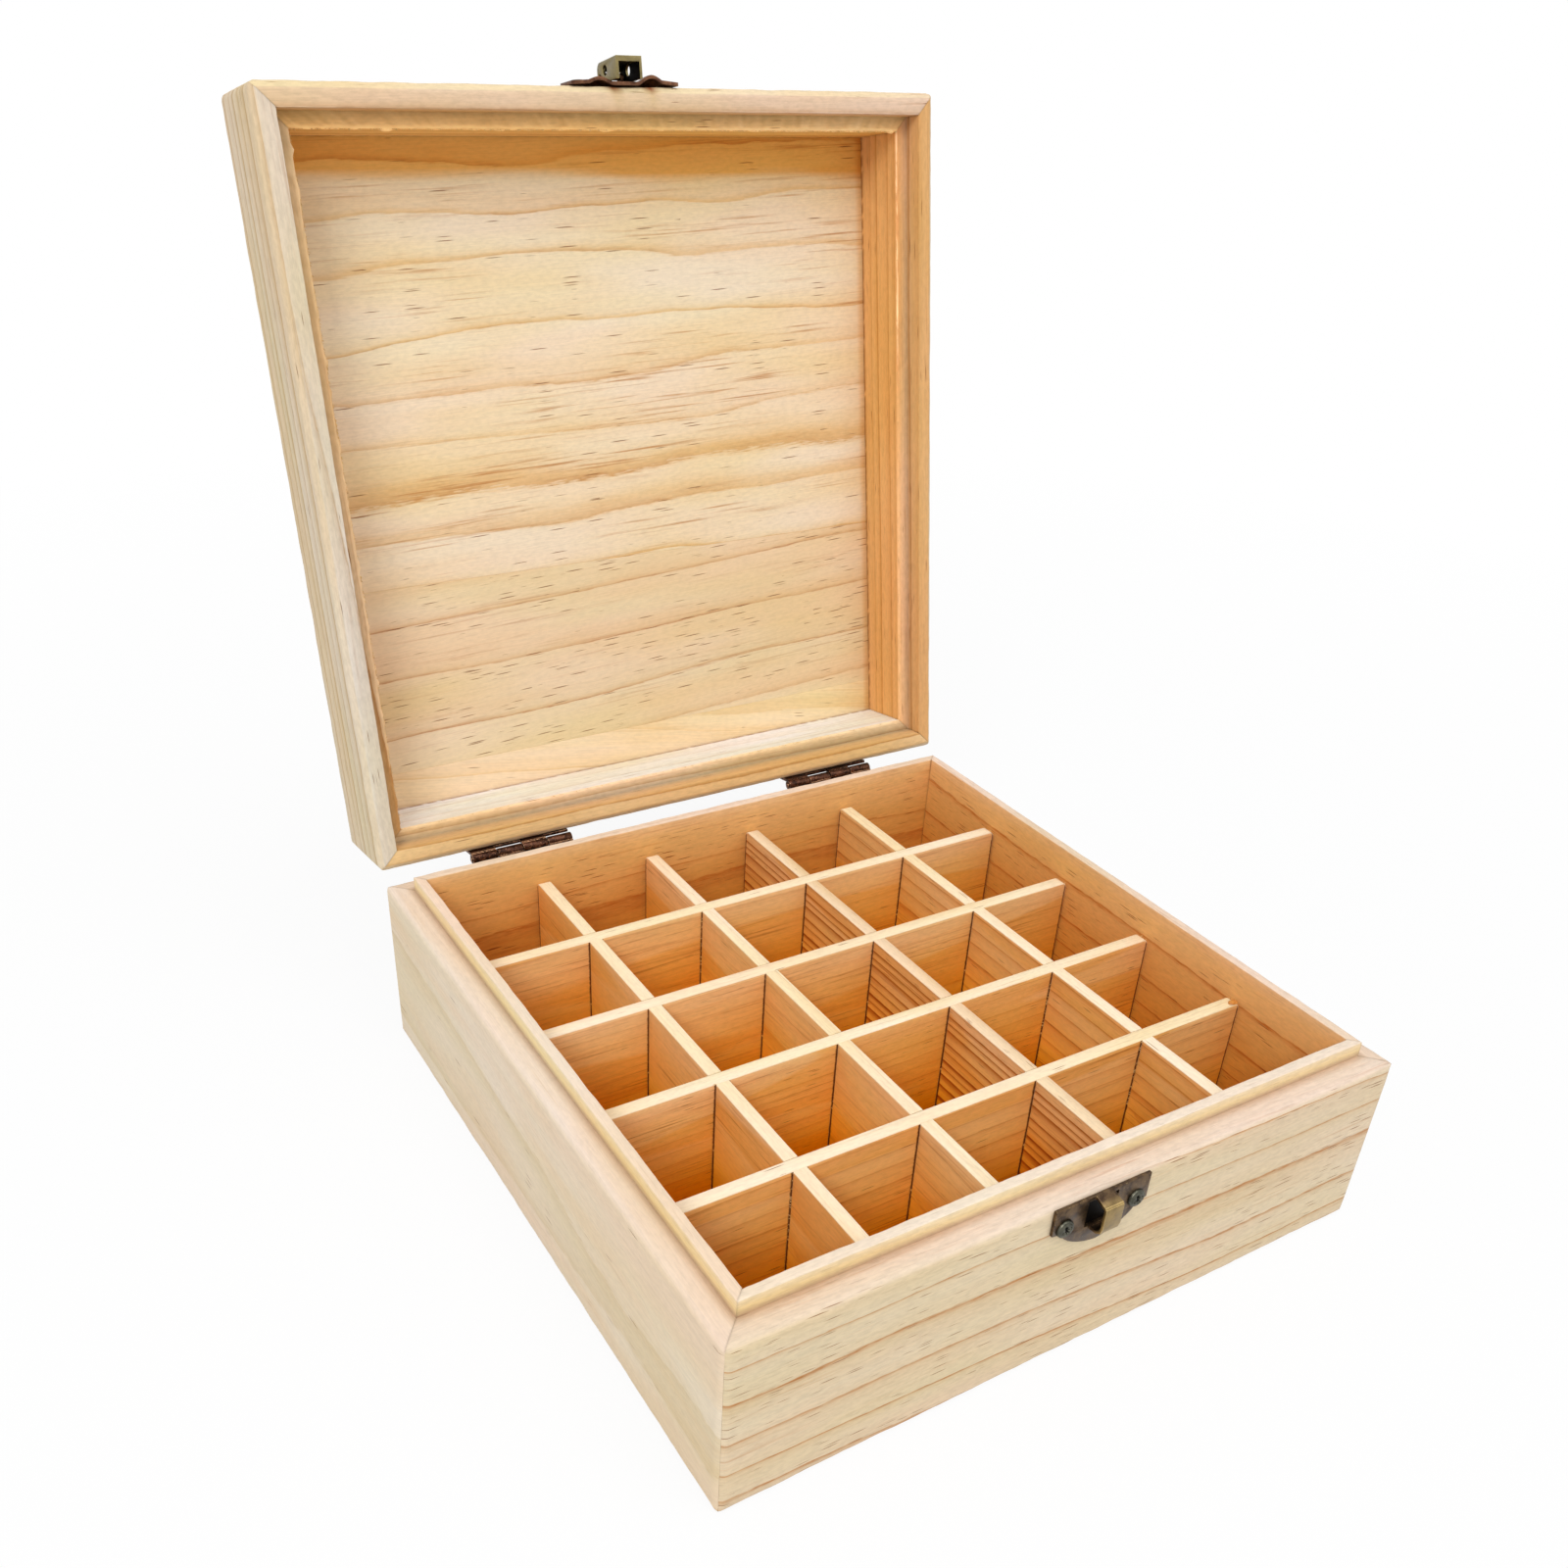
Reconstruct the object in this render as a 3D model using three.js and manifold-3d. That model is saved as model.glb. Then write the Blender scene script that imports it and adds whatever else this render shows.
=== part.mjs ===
// Wooden organizer box: a square box of raw pine with a hinged lid, a lift-out
// grid of half-lapped dividers that makes twenty-five cells, two small barrel
// hinges on the back and a hasp latch on the front.
//
// Millimetres, +Z up, X left to right, Y front to back. The origin is the middle
// of the underside. The lid and what is screwed to it are drawn closed, and then
// turned open about the hinge axis.

import * as THREE from 'three';
import { mergeVertices } from 'three/addons/utils/BufferGeometryUtils.js';
import Module from 'manifold-3d';

const wasm = await Module();
wasm.setup();

// Box as a whole
const boxWidth = 185;
const boxDepth = 185;
const wallThickness = 9;
const cornerRound = 2;
const rebateWidth = 4; // how far a panel is let into the walls
const panelSideGap = 0.2;
const cutOverrun = 1; // how far every cutting tool runs past the stock

// Base
const baseHeight = 48; // underside to the ledge that the lid rests on
const baseTopBevel = 1.2;
const baseFootBevel = 1;
const tongueHeight = 4.2;
const tongueThickness = 2.75;
const bottomThickness = 3;
const baseMitreGap = 0.1;

// Lid
const lidHeight = 27.7;
const lidRimBevel = 1.7;
const lidTopBevel = 1.2;
const lidClosedGap = 0.3; // rim to ledge when the lid is shut
const tongueSideClearance = 0.75;
const tongueHeadroom = 1.7;
const lidPanelThickness = 4.6;
const lidMitreGap = 0.2;
const lidPanelSeatGap = 0.2;
const lidOpenDegrees = 100;

// Divider grid
const dividersEachWay = 4;
const dividerThickness = 3.6;
const dividerTopHeight = 43.2; // underside of the box to the dividers' top edges
const dividerPitch = 33.8;
const dividerEndClearance = 0.5;
const dividerCornerRound = 1.6;
const lapClearance = 0.3;

// Hinges
const hingeInset = 40.7; // end of the box to the middle of a hinge
const hingeLength = 30;
const hingeAxisReach = 1.95; // back face to pin axis
const barrelDiameter = 2.8;
const barrelBore = 1.8;
const hingePinDiameter = 1.3;
const hingePinProud = 0.3;
const knuckleCount = 4;
const knuckleGap = 0.3;
const leafReach = 12; // pin axis to the leaf's far edge
const leafThickness = 0.8;
const leafBarrelClearance = 0.35;
const leafCornerRound = 1.5;
const leafScrewSpacing = 20;
const leafScrewReach = 7.2; // pin axis to the screws
const hardwareSeatGap = 0.15; // film of glue or lacquer under metal and screw heads

// Screws
const plateScrew = {
  headDiameter: 4.5, headHeight: 1.4, shankDiameter: 1.8, length: 7, pointLength: 2,
  crossLength: 2.6, crossWidth: 0.6, crossDepth: 0.6,
};
const hingeScrew = {
  headDiameter: 3.8, headHeight: 1.1, shankDiameter: 1.6, length: 6.4, pointLength: 1.8,
  crossLength: 2.2, crossWidth: 0.5, crossDepth: 0.5,
};
const screwHoleClearance = 0.5; // added to the shank's diameter in metal and wood
const pilotExtraDepth = 0.5;

// Latch: both plates, and the catch on the base
const latchOffset = -1; // middle of the latch from the middle of the box
const latchPlateThickness = 0.8;
const latchScrewSpacing = 20;
const catchWidth = 26.6;
const catchHeight = 13.2;
const catchScrewDrop = 5.8; // ledge down to the screws
const noseWidth = 5;
const noseReach = 4.55; // wall face to the nose's outer face
const noseSheet = 0.7;
const noseRidgeDrop = 0.9;
const noseFaceHeight = 4.6;
const noseFootDrop = 9.4;
const noseBend = 1.1;
const catchWindowWidth = 8.4;
const catchWindowTop = 1;
const catchWindowBottom = 8.2;

// Latch: hasp plate and cap on the lid
const haspWidth = 29;
const haspHeight = 12.6;
const haspRimMargin = 0.8; // rim to the plate's lower edge
const haspScrewHeight = 7;
const haspPinHeight = 8; // rim to the pin
const haspPinReach = 2.4; // wall face to the pin
const haspPinDiameter = 1;
const haspPinBore = 1.5;
const haspPinProud = 0.45;
const earRadius = 1.15;
const earThickness = 0.7;
const capSheet = 0.65;
const capWidth = 6.9;
const capEarClearance = 0.35;
const capBelowRim = 1.7;
const capNearReach = 6.1;
const capFarReach = 5.6;
const capEdgeReach = 1.35; // wall face to the cap's open edge
const capBeyondPin = 1.3;
const capCornerRound = 1.8;
const capLipDepth = 1.15;
const capHoleDiameter = 2.3;
const capHoleFromPin = 3.1;
const capHoleReach = 3.7;

// Faceting
const roundSides = 20;
const smallRoundSides = 12;
const cornerSteps = 3;

// Derived places
const halfWidth = boxWidth / 2;
const halfDepth = boxDepth / 2;
const rimHeight = baseHeight + lidClosedGap;
const tongueTop = baseHeight + tongueHeight;
const tongueInset = wallThickness - tongueThickness;
const rabbetInset = tongueInset - tongueSideClearance;
const rabbetDepth = tongueHeight + tongueHeadroom;
const panelInset = wallThickness - rebateWidth;
const hingeAxis = new THREE.Vector3(0, halfDepth + hingeAxisReach, rimHeight);

// Finishes
const finishes = {
  paleWall: { color: 0xd9cbb0, roughness: 0.75 },
  creamWall: { color: 0xe4d2b3, roughness: 0.75 },
  bottomBoard: { color: 0xc78f4e, roughness: 0.8 },
  lidBoard: { color: 0xe8bd8c, roughness: 0.75 },
  divider: { color: 0xd9ad74, roughness: 0.78 },
  bronze: { color: 0x7d7060, roughness: 0.38, metalness: 0.85 },
  darkBronze: { color: 0x5f5145, roughness: 0.42, metalness: 0.85 },
};

function mesh(name, geometry, finish) {
  const part = new THREE.Mesh(geometry, new THREE.MeshStandardMaterial(finishes[finish]));
  part.name = name;
  return part;
}

// Closed solids for joining and cutting
function solidOf(geometry) {
  const bare = geometry.index ? geometry.clone() : mergeVertices(geometry.clone());
  bare.deleteAttribute('normal');
  bare.deleteAttribute('uv');
  const merged = mergeVertices(bare);
  return new wasm.Manifold(new wasm.Mesh({
    numProp: 3,
    vertProperties: new Float32Array(merged.attributes.position.array),
    triVerts: new Uint32Array(merged.index.array),
  }));
}

function geometryOf(solid) {
  const result = solid.getMesh();
  const geometry = new THREE.BufferGeometry();
  geometry.setAttribute('position', new THREE.BufferAttribute(result.vertProperties, 3));
  geometry.setIndex(new THREE.BufferAttribute(result.triVerts, 1));
  geometry.computeVertexNormals();
  return geometry;
}

function cutAway(stock, tools) {
  const result = tools.reduce((solid, tool) => solid.subtract(solidOf(tool)), solidOf(stock));
  return geometryOf(result);
}

function joined(pieces) {
  const [first, ...rest] = pieces.map(solidOf);
  return geometryOf(rest.reduce((solid, piece) => solid.add(piece), first));
}

// Simple forms. The upright ones stand in the XZ plane and grow towards the viewer, -Y.
function extruded(shape, depth, steps = cornerSteps) {
  return new THREE.ExtrudeGeometry(shape, { depth, bevelEnabled: false, curveSegments: steps });
}

function upright(shape, depth, steps = cornerSteps) {
  return extruded(shape, depth, steps).rotateX(Math.PI / 2);
}

// A side outline, drawn as (reach out of the wall, height), made as wide as asked along X.
function acrossX(shape, width, steps = cornerSteps) {
  const geometry = extruded(shape, width, steps);
  const turn = new THREE.Matrix4().makeBasis(
    new THREE.Vector3(0, -1, 0), new THREE.Vector3(0, 0, 1), new THREE.Vector3(-1, 0, 0),
  );
  return geometry.applyMatrix4(turn).translate(width / 2, 0, 0);
}

function rodAlongX(diameter, length, sides = roundSides) {
  return new THREE.CylinderGeometry(diameter / 2, diameter / 2, length, sides).rotateZ(Math.PI / 2);
}

function rodAlongY(diameter, length, sides = smallRoundSides) {
  return new THREE.CylinderGeometry(diameter / 2, diameter / 2, length, sides);
}

function roundedBlock(width, depth, height, radius) {
  const x = width / 2;
  const y = depth / 2;
  const shape = new THREE.Shape();
  shape.absarc(x - radius, y - radius, radius, 0, Math.PI / 2);
  shape.absarc(radius - x, y - radius, radius, Math.PI / 2, Math.PI);
  shape.absarc(radius - x, radius - y, radius, Math.PI, 1.5 * Math.PI);
  shape.absarc(x - radius, radius - y, radius, 1.5 * Math.PI, 2 * Math.PI);
  return extruded(shape, height);
}

// Mitred frame of four rails. A rail's profile is a list of [inset from the outer
// face, height], anticlockwise, and both ends are cut at 45 degrees.
function mitredRail(profile, length, reach, mitreGap) {
  const contour = profile.map(([inset, height]) => new THREE.Vector2(inset - reach, height));
  const count = contour.length;
  const vertices = [];
  for (const side of [-1, 1]) {
    profile.forEach(([inset, height]) => {
      vertices.push(side * (length / 2 - inset - mitreGap), inset - reach, height);
    });
  }
  const triangles = [];
  for (const [a, b, c] of THREE.ShapeUtils.triangulateShape(contour, [])) {
    triangles.push(a, c, b, a + count, b + count, c + count);
  }
  for (let i = 0; i < count; i += 1) {
    const next = (i + 1) % count;
    triangles.push(i, next, i + count, next, next + count, i + count);
  }
  const geometry = new THREE.BufferGeometry();
  geometry.setAttribute('position', new THREE.Float32BufferAttribute(vertices, 3));
  geometry.setIndex(triangles);
  return geometry;
}

const frameSides = [
  { side: 'front', turn: 0, length: boxWidth, reach: halfDepth },
  { side: 'right', turn: Math.PI / 2, length: boxDepth, reach: halfWidth },
  { side: 'back', turn: Math.PI, length: boxWidth, reach: halfDepth },
  { side: 'left', turn: 1.5 * Math.PI, length: boxDepth, reach: halfWidth },
];

// One wall, with its outer corners rounded and holes drilled for its screws.
function wall(profile, { turn, length, reach }, mitreGap, holes) {
  const rail = mitredRail(profile, length, reach, mitreGap).rotateZ(turn);
  const heights = profile.map(([, height]) => height);
  const lowest = Math.min(...heights) - cutOverrun;
  const tall = Math.max(...heights) + cutOverrun - lowest;
  const round = roundedBlock(boxWidth, boxDepth, tall, cornerRound).translate(0, 0, lowest);
  const shaped = solidOf(rail).intersect(solidOf(round));
  return geometryOf(holes.reduce((solid, hole) => solid.subtract(solidOf(hole)), shaped));
}

const baseProfile = [
  [baseFootBevel, 0],
  [panelInset, 0],
  [panelInset, bottomThickness],
  [wallThickness, bottomThickness],
  [wallThickness, tongueTop],
  [tongueInset, tongueTop],
  [tongueInset, baseHeight],
  [baseTopBevel, baseHeight],
  [0, baseHeight - baseTopBevel],
  [0, baseFootBevel],
];

const lidProfile = [
  [lidRimBevel, rimHeight],
  [rabbetInset, rimHeight],
  [rabbetInset, rimHeight + rabbetDepth],
  [wallThickness, rimHeight + rabbetDepth],
  [wallThickness, rimHeight + lidHeight - lidPanelThickness],
  [panelInset, rimHeight + lidHeight - lidPanelThickness],
  [panelInset, rimHeight + lidHeight],
  [lidTopBevel, rimHeight + lidHeight],
  [0, rimHeight + lidHeight - lidTopBevel],
  [0, rimHeight + lidRimBevel],
];

// Screw places, as x along the wall and height
function screwPair(middle, spacing, height) {
  return [-1, 1].map((side) => ({ x: middle + side * spacing / 2, z: height }));
}

const hingeMiddles = [hingeInset - halfWidth, halfWidth - hingeInset];
const [baseHingeScrews, lidHingeScrews] = [-leafScrewReach, leafScrewReach].map((reach) => (
  hingeMiddles.map((x) => screwPair(x, leafScrewSpacing, rimHeight + reach))
));
const catchScrews = screwPair(latchOffset, latchScrewSpacing, baseHeight - catchScrewDrop);
const haspScrews = screwPair(latchOffset, latchScrewSpacing, rimHeight + haspScrewHeight);

function pilotHole({ x, z }, sizes, faceY) {
  const diameter = sizes.shankDiameter + screwHoleClearance;
  const depth = sizes.length + pilotExtraDepth;
  const inward = -Math.sign(faceY);
  const length = depth + cutOverrun;
  return rodAlongY(diameter, length).translate(x, faceY + inward * (depth - cutOverrun) / 2, z);
}

function baseWalls() {
  const holes = {
    front: catchScrews.map((place) => pilotHole(place, plateScrew, -halfDepth)),
    back: baseHingeScrews.flat().map((place) => pilotHole(place, hingeScrew, halfDepth)),
  };
  return frameSides.map((frame) => mesh(
    `base_${frame.side}_wall`,
    wall(baseProfile, frame, baseMitreGap, holes[frame.side] ?? []),
    'paleWall',
  ));
}

function lidWalls() {
  const holes = {
    front: haspScrews.map((place) => pilotHole(place, plateScrew, -halfDepth)),
    back: lidHingeScrews.flat().map((place) => pilotHole(place, hingeScrew, halfDepth)),
  };
  return frameSides.map((frame) => mesh(
    `lid_${frame.side}_wall`,
    wall(lidProfile, frame, lidMitreGap, holes[frame.side] ?? []),
    'creamWall',
  ));
}

function bottomPanel() {
  const side = 2 * (panelInset + panelSideGap);
  const geometry = new THREE.BoxGeometry(boxWidth - side, boxDepth - side, bottomThickness);
  const panel = mesh('base_bottom_panel', geometry, 'bottomBoard');
  panel.position.z = bottomThickness / 2;
  return panel;
}

function lidPanel() {
  const side = 2 * (panelInset + panelSideGap);
  const thickness = lidPanelThickness - lidPanelSeatGap;
  const geometry = new THREE.BoxGeometry(boxWidth - side, boxDepth - side, thickness);
  const panel = mesh('lid_top_panel', geometry, 'lidBoard');
  panel.position.z = rimHeight + lidHeight - thickness / 2;
  return panel;
}

// Dividers. The long ones run left to right and are slotted from below, so their
// top edges are unbroken. The cross ones run front to back, slotted from above.
const dividerMiddles = Array.from(
  { length: dividersEachWay },
  (_, i) => (i - (dividersEachWay - 1) / 2) * dividerPitch,
);

function dividerOutline(length, slottedFromBelow) {
  const end = length / 2;
  const low = bottomThickness;
  const high = dividerTopHeight;
  const slotHalf = (dividerThickness + lapClearance) / 2;
  const lapLevel = (low + high) / 2;
  const shape = new THREE.Shape();
  shape.moveTo(-end, low);
  if (slottedFromBelow) {
    for (const x of dividerMiddles) {
      shape.lineTo(x - slotHalf, low);
      shape.lineTo(x - slotHalf, lapLevel + lapClearance / 2);
      shape.lineTo(x + slotHalf, lapLevel + lapClearance / 2);
      shape.lineTo(x + slotHalf, low);
    }
  }
  shape.lineTo(end, low);
  shape.lineTo(end, high - dividerCornerRound);
  shape.absarc(end - dividerCornerRound, high - dividerCornerRound, dividerCornerRound, 0, Math.PI / 2);
  if (!slottedFromBelow) {
    for (const x of [...dividerMiddles].reverse()) {
      shape.lineTo(x + slotHalf, high);
      shape.lineTo(x + slotHalf, lapLevel - lapClearance / 2);
      shape.lineTo(x - slotHalf, lapLevel - lapClearance / 2);
      shape.lineTo(x - slotHalf, high);
    }
  }
  shape.lineTo(dividerCornerRound - end, high);
  shape.absarc(
    dividerCornerRound - end, high - dividerCornerRound, dividerCornerRound, Math.PI / 2, Math.PI,
  );
  return shape;
}

function dividerGrid() {
  const grid = new THREE.Group();
  const longLength = boxWidth - 2 * (wallThickness + dividerEndClearance);
  const crossLength = boxDepth - 2 * (wallThickness + dividerEndClearance);
  dividerMiddles.forEach((middle, i) => {
    const long = mesh(
      `long_divider_${i + 1}`, upright(dividerOutline(longLength, true), dividerThickness), 'divider',
    );
    long.position.y = middle + dividerThickness / 2;
    const cross = mesh(
      `cross_divider_${i + 1}`, upright(dividerOutline(crossLength, false), dividerThickness), 'divider',
    );
    cross.rotation.z = Math.PI / 2;
    cross.position.x = middle - dividerThickness / 2;
    grid.add(long, cross);
  });
  return grid;
}

// Round-headed wood screw along Y, with its head towards -Y and a cross in the head.
function screwGeometry(sizes) {
  const headRadius = sizes.headDiameter / 2;
  const shankRadius = sizes.shankDiameter / 2;
  const side = new THREE.Path();
  side.moveTo(0, -sizes.headHeight);
  side.quadraticCurveTo(headRadius, -sizes.headHeight, headRadius, 0);
  side.lineTo(shankRadius, 0);
  side.lineTo(shankRadius, sizes.length - sizes.pointLength);
  side.lineTo(0, sizes.length);
  const body = new THREE.LatheGeometry(side.getPoints(cornerSteps + 1), smallRoundSides);
  const crossDepth = sizes.crossDepth + cutOverrun;
  const crossPlace = -sizes.headHeight + sizes.crossDepth - crossDepth / 2;
  const bars = [0, Math.PI / 2].map((turn) => new THREE.BoxGeometry(
    sizes.crossLength, crossDepth, sizes.crossWidth,
  ).rotateY(turn).translate(0, crossPlace, 0));
  return cutAway(body, bars);
}

// Screws of one plate. They stand in the face's own frame: Y is depth into the wood.
function screws(prefix, places, sizes, underHead, facesBack) {
  return places.map(({ x, z }, i) => {
    const screw = mesh(`${prefix}_${i + 1}`, screwGeometry(sizes), 'darkBronze');
    const out = halfDepth + underHead;
    screw.position.set(x, facesBack ? out : -out, z);
    screw.rotation.z = facesBack ? Math.PI : 0;
    return screw;
  });
}

// Hinges. A leaf is drawn with the pin axis at height zero, the wall face at Y zero
// and its plate below the axis. The lid's leaf is the same, upside down, and takes
// the knuckles in between.
const knuckleLength = (hingeLength - (knuckleCount - 1) * knuckleGap) / knuckleCount;

function knuckleMiddle(index) {
  return -hingeLength / 2 + knuckleLength / 2 + index * (knuckleLength + knuckleGap);
}

function leafPlate() {
  const half = hingeLength / 2;
  const top = -(barrelDiameter / 2 + leafBarrelClearance);
  const cornerX = half - leafCornerRound;
  const cornerZ = leafCornerRound - leafReach;
  const shape = new THREE.Shape();
  shape.moveTo(half, top);
  shape.lineTo(-half, top);
  shape.lineTo(-half, cornerZ);
  shape.absarc(-cornerX, cornerZ, leafCornerRound, Math.PI, 1.5 * Math.PI);
  shape.absarc(cornerX, cornerZ, leafCornerRound, 1.5 * Math.PI, 2 * Math.PI);
  return upright(shape, leafThickness);
}

function leafGeometry(knuckles, upsideDown) {
  const tabHeight = barrelDiameter / 2 + leafBarrelClearance + cutOverrun;
  const pieces = [leafPlate()];
  for (const index of knuckles) {
    const x = knuckleMiddle(index);
    pieces.push(new THREE.BoxGeometry(knuckleLength, leafThickness, tabHeight)
      .translate(x, -leafThickness / 2, -tabHeight / 2));
    pieces.push(rodAlongX(barrelDiameter, knuckleLength).translate(x, hardwareSeatGap - hingeAxisReach, 0));
  }
  const bore = rodAlongX(barrelBore, hingeLength + 2 * cutOverrun, smallRoundSides)
    .translate(0, hardwareSeatGap - hingeAxisReach, 0);
  const holeDiameter = hingeScrew.shankDiameter + screwHoleClearance;
  const holes = screwPair(0, leafScrewSpacing, -leafScrewReach).map(({ x, z }) => (
    rodAlongY(holeDiameter, leafThickness + 2 * cutOverrun).translate(x, 0, z)
  ));
  const leaf = cutAway(joined(pieces), [bore, ...holes]);
  return upsideDown ? leaf.rotateY(Math.PI) : leaf;
}

const baseKnuckles = Array.from({ length: knuckleCount / 2 }, (_, i) => 2 * i);

function hingeLeaf(name, middle, upsideDown) {
  const leaf = mesh(name, leafGeometry(baseKnuckles, upsideDown), 'bronze');
  leaf.rotation.z = Math.PI;
  leaf.position.set(middle, halfDepth + hardwareSeatGap, rimHeight);
  return leaf;
}

function hingePin(name, middle) {
  const rod = rodAlongX(hingePinDiameter, hingeLength + 2 * hingePinProud, smallRoundSides);
  const pin = mesh(name, rod, 'darkBronze');
  pin.position.set(middle, hingeAxis.y, hingeAxis.z);
  return pin;
}

const hingeNames = ['left', 'right'];

function baseHingeParts() {
  const underHead = hardwareSeatGap * 2 + leafThickness;
  return hingeMiddles.flatMap((middle, i) => [
    hingeLeaf(`${hingeNames[i]}_hinge_base_leaf`, middle, false),
    hingePin(`${hingeNames[i]}_hinge_pin`, middle),
    ...screws(`${hingeNames[i]}_hinge_base_screw`, baseHingeScrews[i], hingeScrew, underHead, true),
  ]);
}

function lidHingeParts() {
  const underHead = hardwareSeatGap * 2 + leafThickness;
  return hingeMiddles.flatMap((middle, i) => [
    hingeLeaf(`${hingeNames[i]}_hinge_lid_leaf`, middle, true),
    ...screws(`${hingeNames[i]}_hinge_lid_screw`, lidHingeScrews[i], hingeScrew, underHead, true),
  ]);
}

// Latch plates share one outline: a straight edge next to the parting line, short
// upright ends, a hollow cusp and a full belly. Shares are of half width and height.
const cuspShares = { endDrop: 0.52, hollowX: 0.8, hollowY: 0.53, cuspX: 0.72, cuspY: 0.69 };
const bellyShares = { controlX: 0.45, controlY: 0.94 };

function latchOutline(width, height) {
  const half = width / 2;
  const shape = new THREE.Shape();
  shape.moveTo(half, 0);
  shape.lineTo(-half, 0);
  shape.lineTo(-half, -height * cuspShares.endDrop);
  shape.quadraticCurveTo(
    -half * cuspShares.hollowX, -height * cuspShares.hollowY,
    -half * cuspShares.cuspX, -height * cuspShares.cuspY,
  );
  shape.quadraticCurveTo(-half * bellyShares.controlX, -height * bellyShares.controlY, 0, -height);
  shape.quadraticCurveTo(
    half * bellyShares.controlX, -height * bellyShares.controlY,
    half * cuspShares.cuspX, -height * cuspShares.cuspY,
  );
  shape.quadraticCurveTo(
    half * cuspShares.hollowX, -height * cuspShares.hollowY,
    half, -height * cuspShares.endDrop,
  );
  return shape;
}

const outlineSteps = 6;

function latchPlate(width, height, screwLevel) {
  const holes = screwPair(0, latchScrewSpacing, screwLevel).map(({ x, z }) => (
    rodAlongY(plateScrew.shankDiameter + screwHoleClearance, latchPlateThickness + 2 * cutOverrun)
      .translate(x, 0, z)
  ));
  return cutAway(upright(latchOutline(width, height), latchPlateThickness, outlineSteps), holes);
}

// A strip of sheet bent along a path of (reach, height), as a closed side outline.
function bentStrip(path, sheet, steps) {
  const points = path.getPoints(steps);
  const sides = points.map((point, i) => {
    const before = points[Math.max(i - 1, 0)];
    const after = points[Math.min(i + 1, points.length - 1)];
    const along = after.clone().sub(before).normalize();
    return new THREE.Vector2(-along.y, along.x).multiplyScalar(sheet);
  });
  const inner = points.map((point, i) => point.clone().add(sides[i])).reverse();
  return new THREE.Shape([...points, ...inner]);
}

// The nose is a strip of the catch plate pushed out into a loop, open at its sides.
function noseOutline() {
  const front = noseReach - hardwareSeatGap;
  const ridge = -noseRidgeDrop;
  const faceEnd = ridge - noseBend - noseFaceHeight;
  const path = new THREE.Path();
  path.moveTo(latchPlateThickness, 0);
  path.lineTo(front - noseBend, ridge);
  path.quadraticCurveTo(front, ridge, front, ridge - noseBend);
  path.lineTo(front, faceEnd);
  path.quadraticCurveTo(front, -noseFootDrop, latchPlateThickness, -noseFootDrop);
  return bentStrip(path, -noseSheet, cornerSteps);
}

function catchPlate() {
  const windowHeight = catchWindowBottom - catchWindowTop;
  const opening = new THREE.BoxGeometry(
    catchWindowWidth, latchPlateThickness + 2 * cutOverrun, windowHeight,
  ).translate(0, 0, -catchWindowTop - windowHeight / 2);
  const plate = cutAway(latchPlate(catchWidth, catchHeight, -catchScrewDrop), [opening]);
  const geometry = joined([plate, acrossX(noseOutline(), noseWidth)]);
  const part = mesh('catch_plate', geometry, 'bronze');
  part.position.set(latchOffset, -halfDepth - hardwareSeatGap, baseHeight);
  return part;
}

function catchParts() {
  const underHead = hardwareSeatGap * 2 + latchPlateThickness;
  return [catchPlate(), ...screws('catch_screw', catchScrews, plateScrew, underHead, false)];
}

// Hasp. Its plate carries two ears, and the cap turns on a pin through them.
const capInnerWidth = capWidth - 2 * capSheet;
const earMiddle = capInnerWidth / 2 - capEarClearance - earThickness / 2;

function earOutline() {
  const pinReach = haspPinReach - hardwareSeatGap;
  const shape = new THREE.Shape();
  shape.moveTo(0, -earRadius);
  shape.lineTo(pinReach, -earRadius);
  shape.absarc(pinReach, 0, earRadius, -Math.PI / 2, Math.PI / 2);
  shape.lineTo(0, earRadius);
  return shape;
}

function haspPlate() {
  const plate = latchPlate(haspWidth, haspHeight, haspRimMargin - haspScrewHeight).rotateY(Math.PI);
  const pinLevel = haspPinHeight - haspRimMargin;
  const ears = [-1, 1].map((side) => (
    acrossX(earOutline(), earThickness, outlineSteps).translate(side * earMiddle, 0, pinLevel)
  ));
  const bore = rodAlongX(haspPinBore, capWidth + 2 * cutOverrun, smallRoundSides)
    .translate(0, hardwareSeatGap - haspPinReach, pinLevel);
  const part = mesh('hasp_plate', cutAway(joined([plate, ...ears]), [bore]), 'bronze');
  part.position.set(latchOffset, -halfDepth - hardwareSeatGap, rimHeight + haspRimMargin);
  return part;
}

// Cap outlines are (reach, height) about the pin.
function capOutline() {
  const near = -haspPinHeight - capBelowRim;
  const edge = capEdgeReach - haspPinReach;
  const far = capFarReach - haspPinReach;
  const cornerHeight = capBeyondPin - capCornerRound;
  const shape = new THREE.Shape();
  shape.moveTo(edge, near);
  shape.lineTo(capNearReach - haspPinReach, near);
  shape.lineTo(far, cornerHeight);
  shape.absarc(far - capCornerRound, cornerHeight, capCornerRound, 0, Math.PI / 2);
  shape.lineTo(0, capBeyondPin);
  shape.absarc(0, 0, capBeyondPin, Math.PI / 2, Math.PI);
  return shape;
}

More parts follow.
